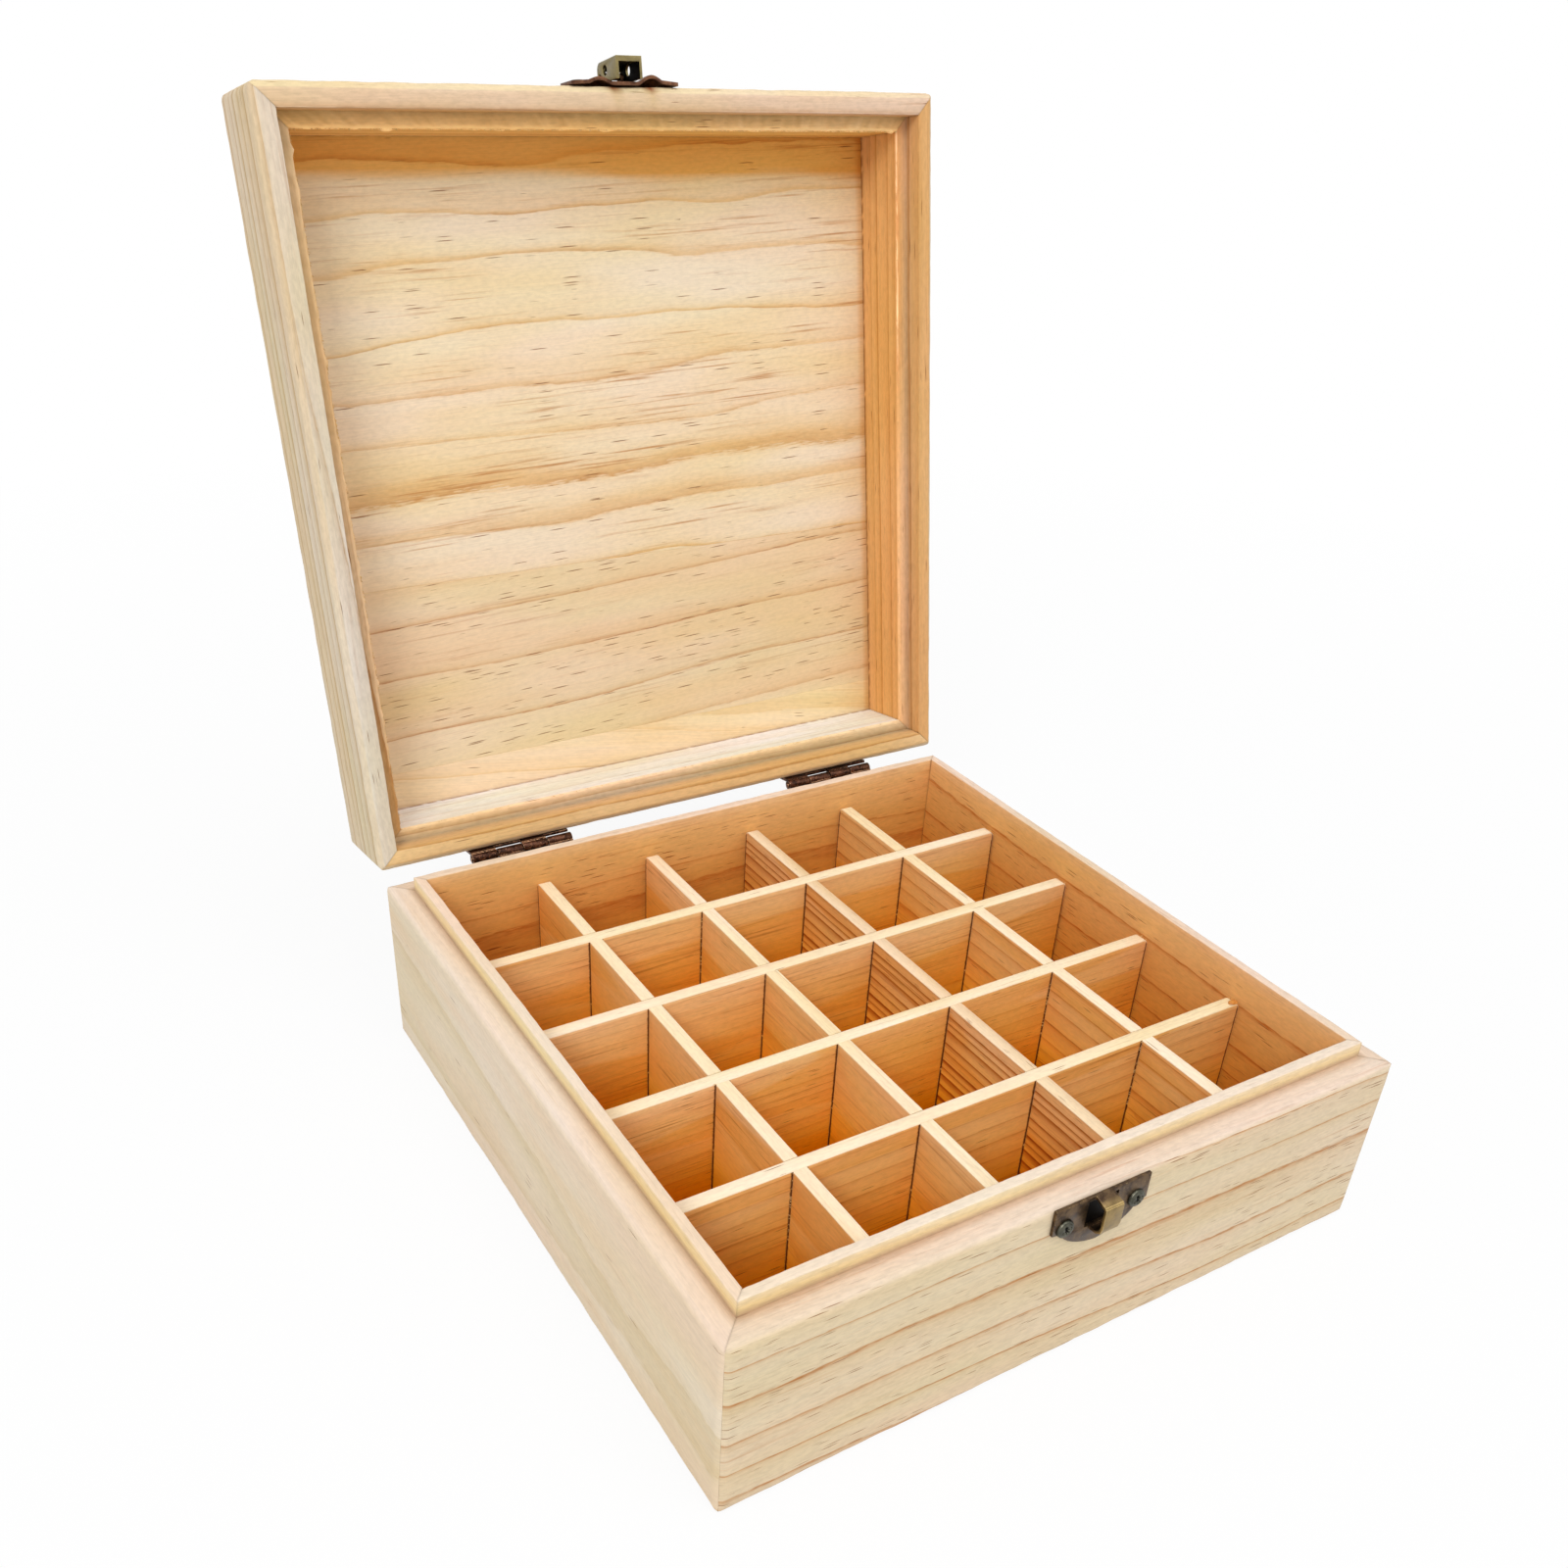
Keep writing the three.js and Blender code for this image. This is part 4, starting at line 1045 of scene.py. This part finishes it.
def divider_board(name, from_below, seed, wood):
    """One divider along X, standing in the middle of the box, as the board that the row repeats."""
    outline = divider_outline(from_below, random.Random(seed))
    count = len(outline)
    half, ease = DIVIDER_THICK / 2, DIVIDER_EASE
    rings = [(-half, ease), (-half + ease * 0.3, ease * 0.3), (-half + ease, 0.0),
             (half - ease, 0.0), (half - ease * 0.3, ease * 0.3), (half, ease)]
    points = []
    for through, inwards in rings:
        points += [Vector((spot.x, through, spot.y)) for spot in drawn_in(outline, inwards)]
    faces = tube_faces(len(rings), count)
    slots = [1] * len(faces)
    for ring in (0, len(rings) - 1):
        loop = [Vector((point.x, point.z, 0)) for point in points[ring * count:(ring + 1) * count]]
        for triangle in geometry.tessellate_polygon([loop]):
            faces.append(tuple(ring * count + corner for corner in triangle))
            slots.append(0)
    materials = [wood["divider"], wood["divider_edge"]]
    mesh = wood_mesh(name, points, faces, points, [(*WHITE, 1.0)] * len(points), materials, slots)
    keep(mesh, "along", "FLOAT", [point.x for point in points])
    return mesh


def geometry_tree(name, inputs):
    """A Geometry Nodes tree that takes and gives geometry. An input is its default value, or the name
    of its kind where it has none."""
    tree = bpy.data.node_groups.new(name, "GeometryNodeTree")
    kinds = {int: "Int", float: "Float", tuple: "Vector"}
    for key, value in {"Geometry": "Geometry", **inputs}.items():
        kind = kinds.get(type(value), value)
        made = tree.interface.new_socket(key, in_out="INPUT", socket_type=f"NodeSocket{kind}")
        if kind != value:
            made.default_value = value
    tree.interface.new_socket("Geometry", in_out="OUTPUT", socket_type="NodeSocketGeometry")
    return tree


def named(tree, name, kind="FLOAT"):
    return add(tree, "GeometryNodeInputNamedAttribute", {"Name": name}, data_type=kind)


def renamed(tree, shape, name, value, kind="FLOAT", domain="POINT"):
    """The shape with a value kept in its attribute of that name."""
    return add(tree, "GeometryNodeStoreNamedAttribute", {"Geometry": shape, "Name": name, "Value": value},
               data_type=kind, domain=domain)


def combined(tree, values):
    """A vector from its parts by number, of which the ones left out are 0."""
    return add(tree, "ShaderNodeCombineXYZ", values)


def scaled(vector, scale):
    return add(tree_of(vector), "ShaderNodeVectorMath", {0: vector, "Scale": scale}, operation="SCALE")


def divider_row_tree():
    """Repeats one divider across the box. Each copy takes its wood from another part of the tree and
    has lines of another strength."""
    tree = geometry_tree("divider_row", {
        "Count": DIVIDER_COUNT, "Pitch": DIVIDER_PITCH * MM, "Turn": 0.0, "Wood Shift": (230.0, 17.0, 31.0),
        "Least Stripes": 0.2, "More Stripes": 0.2, "Fading Stripes": 0.2, "Striped Number": 1,
        "Stripe Closeness": 0.6,
    })
    given = add(tree, "NodeGroupInput")
    last = given["Count"] - 1
    start = combined(tree, {1: last * given["Pitch"] * -0.5})
    step = combined(tree, {1: given["Pitch"]})
    line = {"Count": given["Count"], "Start Location": start, "Offset": step}
    places = add(tree, "GeometryNodeMeshLine", line)
    copies = add(tree, "GeometryNodeInstanceOnPoints", {"Points": places, "Instance": given["Geometry"]})
    order = add(tree, "GeometryNodeInputIndex")
    numbered = renamed(tree, copies, "number", order, domain="INSTANCE")
    spread = add(tree, "GeometryNodeRealizeInstances", {0: numbered})
    number = named(tree, "number")
    striped = calc("LESS_THAN", calc("ABSOLUTE", number - given["Striped Number"]), 0.5)
    closeness = calc("MULTIPLY_ADD", striped, given["Stripe Closeness"], 1.0)
    board = scaled(named(tree, "board", "FLOAT_VECTOR"), closeness)
    board = vector_sum("ADD", board, scaled(given["Wood Shift"], number))
    stripes = calc("MULTIPLY_ADD", striped, given["More Stripes"], given["Least Stripes"])
    stripes = calc("MULTIPLY_ADD", 1.0 - number / last, given["Fading Stripes"], stripes)
    parts = {"Red": 1.0, "Green": 1.0, "Blue": 1.0, "Alpha": stripes}
    tint = add(tree, "FunctionNodeCombineColor", parts)
    grained = renamed(tree, spread, "board", board, "FLOAT_VECTOR")
    grained = renamed(tree, grained, "tint", tint, "FLOAT_COLOR")
    turn = combined(tree, {2: given["Turn"]})
    turned = add(tree, "GeometryNodeTransform", {"Geometry": grained, "Rotation": turn})
    add(tree, "NodeGroupOutput", {0: turned})
    return tree


def grown(name, mesh, tree, values):
    """The plain mesh that a Geometry Nodes tree makes of a mesh, with some of its inputs set."""
    source = linked(name + "_source", mesh)
    modifier = source.modifiers.new("grow", "NODES")
    modifier.node_group = tree
    for item in tree.interface.items_tree:
        if item.in_out == "INPUT" and item.name in values:
            modifier[item.identifier] = values[item.name]
    bpy.context.view_layer.update()
    depsgraph = bpy.context.evaluated_depsgraph_get()
    made = bpy.data.meshes.new_from_object(source.evaluated_get(depsgraph), depsgraph=depsgraph)
    source.modifiers.clear()
    bpy.data.objects.remove(source)
    made.name = name
    return made


def add_dividers(wood):
    tree = divider_row_tree()
    rows = (
        ("long", True, 0.0, (230.0, 17.0, 31.0), (0.28, 0.0, 0.2), 3),
        ("cross", False, QUARTER, (310.0, -23.0, 43.0), (0.02, 1.75, 0.8), 11),
    )
    for kind, from_below, turn, wood_shift, (least, more, fading), seed in rows:
        board = divider_board(f"{kind}_divider_board", from_below, seed, wood)
        mesh = grown(f"{kind}_dividers", board, tree, {
            "Turn": turn, "Wood Shift": wood_shift, "Least Stripes": least, "More Stripes": more,
            "Fading Stripes": fading,
        })
        stands_for = [f"{kind}_divider_{index + 1}" for index in range(DIVIDER_COUNT)]
        add_piece(mesh, "divider_grid", stands_for)


# Metal pieces

# Each arch in the edge of the hasp plate: its middle, half its width and its rise
HASP_ARCHES = ((-8.0, 3.4, 1.0), (6.2, 3.6, 1.5))
ARCH_TOP = 53.0
ARCH_FADE = 2.4
# Where the plate is cut so that it can bend: the axis across the cuts, the first, the last and their pitch
ARCH_CUTS = ((0, -10.6, 9.0, 0.4), (2, 49.6, 53.2, 0.6))

HINGES = ("left", "right")
# Each sheet piece or pin: its body, slot and look
SHEET_PIECES = {
    **{f"{hinge}_hinge_{body}_leaf": (body, "antique_bronze", "dark")
       for body in ("base", "lid") for hinge in HINGES},
    **{f"{hinge}_hinge_pin": ("base", "dark_bronze", "dark") for hinge in HINGES},
    "catch_plate": ("base", "antique_bronze", "catch"),
    "hasp_plate": ("lid", "antique_bronze", "strap"),
    "hasp_cap": ("hasp_cap", "antique_bronze", "cap"),
    "hasp_pin": ("lid", "dark_bronze", "dark"),
}


def along_axis(axis, length):
    """A vector of some length along the axis of that number."""
    return Vector([length * (axis == index) for index in range(3)])


def curl_edge(shell):
    """Bends two low arches into the hasp plate's edge next to the rim, one on each side of the cap."""
    sharpness = 1.2
    front_face = Vector((0, -BOX_HALF, 0))
    normal = LID_TURN.to_3x3() @ Vector((0, -1, 0))
    for axis, start, end, step in ARCH_CUTS:
        across = LID_TURN.to_3x3() @ along_axis(axis, 1.0)
        for number in range(round((end - start) / step) + 1):
            place = LID_TURN @ (along_axis(axis, start + number * step) + front_face)
            bmesh.ops.bisect_plane(shell, geom=shell.verts[:] + shell.edges[:] + shell.faces[:],
                                   plane_co=place * MM, plane_no=across)
    for vertex in shell.verts:
        place = LID_SHUT @ (vertex.co / MM)
        fade = clamped((ARCH_TOP - place.z) / ARCH_FADE)
        for middle, half, rise in HASP_ARCHES:
            share = abs(place.x - middle) / half
            if share < 1:
                lift = rise * math.cos(share * QUARTER) ** sharpness * fade * fade * (3 - 2 * fade)
                vertex.co += normal * lift * MM


def paint_shade_inside(mesh):
    """Gives the faces inside the folded cap the black of painted shade, the third finish. They lie within
    the cap and face its middle. Both are judged with the lid shut, when the cap stands square."""
    places = [LID_SHUT @ (vertex.co / MM) for vertex in mesh.vertices]
    low = Vector([min(place[axis] for place in places) for axis in range(3)])
    high = Vector([max(place[axis] for place in places) for axis in range(3)])
    cavity = (low + high) / 2
    margin = 0.5
    for face in mesh.polygons:
        middle = LID_SHUT @ (face.center / MM)
        within = all(low[axis] + margin < middle[axis] < high[axis] - margin for axis in range(3))
        if within and (cavity - middle).dot(LID_SHUT.to_3x3() @ face.normal) > 0:
            face.material_index = 2


def add_sheet_pieces(metal):
    """Each metal piece is its solid with the flats made whole and every edge rolled over and rubbed, its
    edge finish partly a painted highlight.
    """
    weld, roll = 0.002, 0.14
    flat_angle, edge_angle = math.radians(1.5), math.radians(32)
    for name, (body, finish, look) in SHEET_PIECES.items():
        shell = bmesh.new()
        shell.from_mesh(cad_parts[name].data)
        bmesh.ops.remove_doubles(shell, verts=shell.verts, dist=weld * MM)
        bmesh.ops.dissolve_limit(shell, angle_limit=flat_angle, verts=shell.verts, edges=shell.edges)
        if name == "hasp_plate":
            curl_edge(shell)
        mesh = bpy.data.meshes.new(name.replace("_plate", "_sheet") + "_rolled")
        shell.to_mesh(mesh)
        shell.free()
        for material in (metal[look], metal[look + "_edge"], metal["shadow"]):
            mesh.materials.append(material)
        if name == "hasp_cap":
            paint_shade_inside(mesh)
        mesh.shade_smooth()
        piece = linked(mesh.name, mesh)
        bevel = piece.modifiers.new("rolled_edges", "BEVEL")
        bevel.width = roll * MM
        bevel.segments = 2
        bevel.limit_method = "ANGLE"
        bevel.angle_limit = edge_angle
        bevel.material = 1
        bevel.harden_normals = True
        hand_over(piece, body, [name])


def add_catch_shadow_sheet(metal):
    """Black sheet of painted shade that closes the catch's window behind the nose, with a rim that the
    window presses on.
    """
    left, right, low, high, rounding = -5.6, 3.6, 39.4, 47.2, 0.8
    deep, shallow = -BOX_HALF - 0.03, -BOX_HALF - 0.13
    front_size, front_left, front_middle = 0.94, 0.06, 43.3
    corners = ((left, low), (right, low), (right, high), (left, high))
    outline = eased([(*corner, rounding) for corner in corners])
    front = [(across * front_size - front_left, (up - front_middle) * front_size + front_middle)
             for across, up, _ in outline]
    points = [Vector((across, deep, up)) for across, up, _ in outline]
    points += [Vector((across, (deep + shallow) / 2, up)) for across, up, _ in outline]
    points += [Vector((across, shallow, up)) for across, up in front]
    count = len(outline)
    faces = [ring_face(0, count), ring_face(2, count)] + tube_faces(3, count)
    add_piece(closed_mesh("catch_backing", points, faces, [metal["shadow"]]), "base")


# Screws

def dome_and_recess(radius, arm, reach):
    """Height of a screw head of diameter 1 and height 1, and how deep in its cross recess a place lies.
    arm and reach are the smaller and the larger distance of the place from the two arms' middles."""
    groove_radius, groove_width, groove_depth = 0.4, 0.03, 0.25
    arm_half, arm_slope, arm_length, end_slope, recess_depth = 0.09, 0.025, 0.31, 0.07, 0.85
    dome = math.sqrt(max(1 - (radius / 0.5) ** 5, 0.0))
    dome -= groove_depth * math.exp(-((radius - groove_radius) / groove_width) ** 2)
    inside = clamped((arm_half - arm) / arm_slope) * clamped((arm_length - reach) / end_slope)
    return dome - recess_depth * inside, inside


def circle(radius, level, sides):
    """Points of a circle about the Z axis."""
    angles = [2 * math.pi * side / sides for side in range(sides)]
    return [Vector((radius * math.cos(angle), radius * math.sin(angle), level)) for angle in angles]


def screw_head():
    """A round screw head of diameter 1 and height 1, its face towards +Z, with a cross recess."""
    rings, sides = 16, 40
    shank = ((0.5, -0.25), (0.2, -0.3), (0.18, -1.2))
    points = [Vector((0, 0, 0))]
    for ring in range(1, rings + 1):
        points += circle(0.5 * (ring / rings) ** 0.8, 0, sides)
    recess = []
    for point in points:
        across = sorted((abs(point.x), abs(point.y)))
        point.z, inside = dome_and_recess(Vector((point.x, point.y)).length, *across)
        recess.append(inside)
    for radius, level in shank:
        points += circle(radius, level, sides)
    recess += [0.0] * (len(points) - len(recess))
    faces = [(0, 1 + side, 1 + (side + 1) % sides) for side in range(sides)]
    for face in tube_faces(rings + len(shank), sides):
        faces.append(tuple(1 + face[corner] for corner in (0, 3, 2, 1)))
    faces.append(tuple(reversed(range(len(points) - sides, len(points)))))
    mesh = bpy.data.meshes.new("screw_head")
    mesh.from_pydata(points, [], faces)
    keep(mesh, "recess", "FLOAT", recess)
    mesh.shade_smooth()
    return linked("screw_head", mesh)


def planted(tree, shape, attribute, size, most_spin):
    """Sets a shape on each point, facing the way of an attribute and spun at random, and ends the tree."""
    given = add(tree, "NodeGroupInput")
    facing = named(tree, attribute, "FLOAT_VECTOR")
    aligned = add(tree, "FunctionNodeAlignRotationToVector", {"Vector": facing}, axis="Z")
    copies = add(tree, "GeometryNodeInstanceOnPoints", {
        "Points": given["Geometry"], "Instance": shape, "Rotation": aligned, "Scale": size,
    })
    spin = add(tree, "FunctionNodeRandomValue", {2: 0.0, 3: most_spin, "Seed": given["Seed"]})[1]
    turn = combined(tree, {2: spin})
    turned = add(tree, "GeometryNodeRotateInstances", {"Instances": copies, "Rotation": turn})
    real = add(tree, "GeometryNodeRealizeInstances", {0: turned})
    coated = add(tree, "GeometryNodeSetMaterial", {"Geometry": real, "Material": given["Material"]})
    add(tree, "NodeGroupOutput", {0: coated})


def screw_tree():
    """Sets a screw head on each point, facing the way that the point's attribute "facing" says."""
    tree = geometry_tree("driven_screws", {
        "Head": "Object", "Head Diameter": 4.5 * MM, "Head Height": 1.4 * MM, "Material": "Material",
        "Seed": 7,
    })
    given = add(tree, "NodeGroupInput")
    head = add(tree, "GeometryNodeObjectInfo", {"Object": given["Head"]})["Geometry"]
    size = combined(tree, {0: given["Head Diameter"], 1: given["Head Diameter"], 2: given["Head Height"]})
    most_spin = 0.4
    planted(tree, head, "facing", size, most_spin)
    return tree


def loose_points(name, spots, attribute):
    """Loose points in metres, each with a direction kept in an attribute."""
    mesh = bpy.data.meshes.new(name)
    mesh.from_pydata([place for place, _ in spots], [], [])
    keep(mesh, attribute, "FLOAT_VECTOR", flat(direction for _, direction in spots))
    return mesh


def screw_seat(node, lid):
    """Where a screw's head starts, and the way that it faces, from the screw's solid."""
    front_height, back_height, slack = 1.4, 1.1, 1.01
    low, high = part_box(node)
    middle = (low + high) / 2
    at_front = node.startswith(("catch", "hasp"))
    head_height = (front_height if at_front else back_height) * MM
    turn = LID_TURN if lid else BASE_TURN
    facing = turn.to_3x3() @ Vector((0, -1 if at_front else 1, 0))
    places = [vertex.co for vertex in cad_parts[node].data.vertices]
    reach = max((place - middle).dot(facing) for place in places)
    head = [place for place in places if (place - middle).dot(facing) > reach - head_height * slack]
    centre = sum(head, Vector()) / len(head)
    return centre + facing * ((middle - centre).dot(facing) + reach - head_height), facing


def add_screws(metal):
    tree = screw_tree()
    head = screw_head()
    hinge_screws = {
        body: [f"{hinge}_hinge_{body}_screw_{index}" for hinge in HINGES for index in (1, 2)]
        for body in ("base", "lid")
    }
    # Each set: its name, its screws, their body, the diameter and height of a head, and a seed
    sets = (
        ("catch_screws", ["catch_screw_1", "catch_screw_2"], "base", 4.5, 0.8, 3),
        ("hasp_screws", ["hasp_screw_1", "hasp_screw_2"], "lid", 4.5, 0.7, 5),
        ("hinge_base_screws", hinge_screws["base"], "base", 3.8, 1.1, 7),
        ("hinge_lid_screws", hinge_screws["lid"], "lid", 3.8, 1.1, 9),
    )
    for name, nodes, body, diameter, height, seed in sets:
        seats = [screw_seat(node, body == "lid") for node in nodes]
        mesh = grown(name, loose_points(name + "_seats", seats, "facing"), tree, {
            "Head": head, "Head Diameter": diameter * MM, "Head Height": height * MM,
            "Material": metal["screw"], "Seed": seed,
        })
        add_piece(mesh, body, nodes)
    bpy.data.objects.remove(head)


# Torn fibres and glue

def fibre_tree():
    """Sets a thin curved fibre on each point, leaning the way of its attribute "lean"."""
    tree = geometry_tree("torn_fibres", {
        "Shortest": 0.5 * MM, "Longest": 1.8 * MM, "Thickness": 0.09, "Curl": 0.45, "Material": "Material",
        "Seed": 21,
    })
    given = add(tree, "NodeGroupInput")
    tip_height, thinning = 0.9, -0.8
    tip = combined(tree, {0: given["Curl"], 2: tip_height})
    strand = add(tree, "GeometryNodeCurveQuadraticBezier",
                 {"Resolution": 5, "Start": (0, 0, -0.1), "Middle": (0, 0, 0.5), "End": tip})
    taper = calc("MULTIPLY_ADD", add(tree, "GeometryNodeSplineParameter")["Factor"], thinning, 1.0)
    tapered = add(tree, "GeometryNodeSetCurveRadius", {"Curve": strand, "Radius": taper})
    section = add(tree, "GeometryNodeCurvePrimitiveCircle", {"Resolution": 4})
    width = combined(tree, {0: given["Thickness"], 1: given["Thickness"], 2: 1.0})
    thin = add(tree, "GeometryNodeTransform", {"Geometry": section, "Scale": width})
    fibre = add(tree, "GeometryNodeCurveToMesh",
                {"Curve": tapered, "Profile Curve": thin, "Scale": taper, "Fill Caps": True})
    size = add(tree, "FunctionNodeRandomValue",
               {2: given["Shortest"], 3: given["Longest"], "Seed": given["Seed"]})[1]
    whole_turn = 6.28
    planted(tree, fibre, "lean", size, whole_turn)
    return tree


def spots_on_edge(start, end, count, lean, spread, chance):
    """Random places between two points in millimetres, each with its own lean."""
    spots = []
    for _ in range(count):
        place = start.lerp(end, chance.random())
        stray = Vector([chance.uniform(-1, 1) for _ in range(3)]) * spread
        spots.append((place, (lean + stray).normalized()))
    return spots


def lid_fibre_spots(chance):
    """Fuzz along the inner edge of the ledge in the lid, thickest at the front and the left."""
    sunk, spread = 0.02, 0.35
    inner = BOX_HALF - WALL
    level = RABBET_TOP - sunk
    # Each edge: its two ends, the way that its fibres lean, and how many there are
    edges = (
        ((-inner, -inner), (-inner, inner), (0.3, 0.4), 320),
        ((inner, -inner), (inner, inner), (-0.3, 0.4), 60),
        ((-inner, -inner), (inner, -inner), (0.4, 0.3), 520),
        ((-inner, inner), (inner, inner), (0.4, -0.3), 90),
    )
    spots = []
    for start, end, lean, count in edges:
        start, end, lean = Vector((*start, level)), Vector((*end, level)), Vector((*lean, -0.7))
        spots += spots_on_edge(start, end, count, lean, spread, chance)
    return [(LID_TURN @ place, LID_TURN.to_3x3() @ lean) for place, lean in spots]


def divider_fibre_spots(chance):
    """Fuzz where the slots of the cross dividers were cut, and at the dividers' ends."""
    half = DIVIDER_THICK / 2
    numbers_at_a_slot = (0, 0, 0, 0, 0, 1, 16)
    number_at_an_end = 4
    end_inset, end_drop = 0.8, 0.3
    slot_spread, end_spread = 0.5, 0.4
    spots = []
    for x in divider_middles():
        for y in divider_middles():
            for way in (-1, 1):
                for face in (-half, half):
                    high = Vector((x + face, y + way * SLOT_HALF, DIVIDER_TOP))
                    low = Vector((x + face, y + way * SLOT_HALF, LAP_LEVEL))
                    lean = Vector((math.copysign(0.6, face), -0.6 * way, 0.2))
                    count = chance.choice(numbers_at_a_slot)
                    spots += spots_on_edge(low, high, count, lean, slot_spread, chance)
    for middle in divider_middles():
        for side in (-1, 1):
            lean = Vector((side * 0.6, 0.0, 0.7))
            near_end = side * (DIVIDER_HALF_LENGTH - end_inset)
            start = Vector((near_end, middle - half, DIVIDER_TOP - end_drop))
            end = start + Vector((0, 2 * half, 0))
            spots += spots_on_edge(start, end, number_at_an_end, lean, end_spread, chance)
    return spots


def add_fibres(wood):
    tree = fibre_tree()
    thickness = 0.17
    # Each set: its name, its places, body and slot, the shortest and longest fibre, and two seeds
    sets = (
        ("lid_ledge_fibres", lid_fibre_spots, "lid", "lid_wood", 0.3, 0.6, 5, 21),
        ("divider_fibres", divider_fibre_spots, "divider_grid", "divider_wood", 0.4, 0.9, 6, 22),
    )
    for name, spots_of, body, finish, shortest, longest, place_seed, growth_seed in sets:
        spots = [(place * MM, lean) for place, lean in spots_of(random.Random(place_seed))]
        mesh = grown(name, loose_points(name + "_roots", spots, "lean"), tree, {
            "Shortest": shortest * MM, "Longest": longest * MM, "Thickness": thickness,
            "Material": wood["fibre"], "Seed": growth_seed,
        })
        keep(mesh, "tint", "FLOAT_COLOR", [1.0] * (4 * len(mesh.vertices)))
        keep(mesh, "board", "FLOAT_VECTOR", [part / MM for vertex in mesh.vertices for part in vertex.co])
        add_piece(mesh, body)


def glue_finish():
    material = new_material("hard_glue")
    tree = material.node_tree
    cloudy = noise_of(stretched(object_place(tree), 1 / MM, 1 / MM))
    coat(tree, {"Base Color": mix(cloudy, paint((190, 108, 40)), paint((232, 170, 90))), "Roughness": 0.18})
    return material


def add_glue_drop():
    """A drop of hardened glue on the end of the front long divider."""
    from_end, off_middle, raised = 1.4, 0.9, 0.15
    unevenness, fineness = 0.5, 1.3
    front_divider = -1.5 * DIVIDER_PITCH
    middle = Vector((DIVIDER_HALF_LENGTH - from_end, front_divider - off_middle, DIVIDER_TOP + raised))
    half_size = Vector((1.5, 0.8, 0.5))
    drop = bmesh.new()
    bmesh.ops.create_icosphere(drop, subdivisions=3, radius=1.0)
    for vertex in drop.verts:
        swell = 1 + unevenness * noise.noise(vertex.co * fineness)
        vertex.co = (middle + vertex.co * half_size * swell) * MM
    mesh = bpy.data.meshes.new("glue_drop")
    drop.to_mesh(mesh)
    drop.free()
    mesh.materials.append(glue_finish())
    mesh.shade_smooth()
    add_piece(mesh, "divider_grid")


bpy.context.scene.view_settings.view_transform = "Standard"
add_camera()
add_lights()
add_world()
add_floor()
wood = wood_finishes()
metal = metal_finishes()
add_base_rails(wood)
add_lid_rails(wood)
add_bottom_board(wood)
add_lid_board(wood)
add_dividers(wood)
add_sheet_pieces(metal)
add_catch_shadow_sheet(metal)
add_screws(metal)
add_fibres(wood)
add_glue_drop()
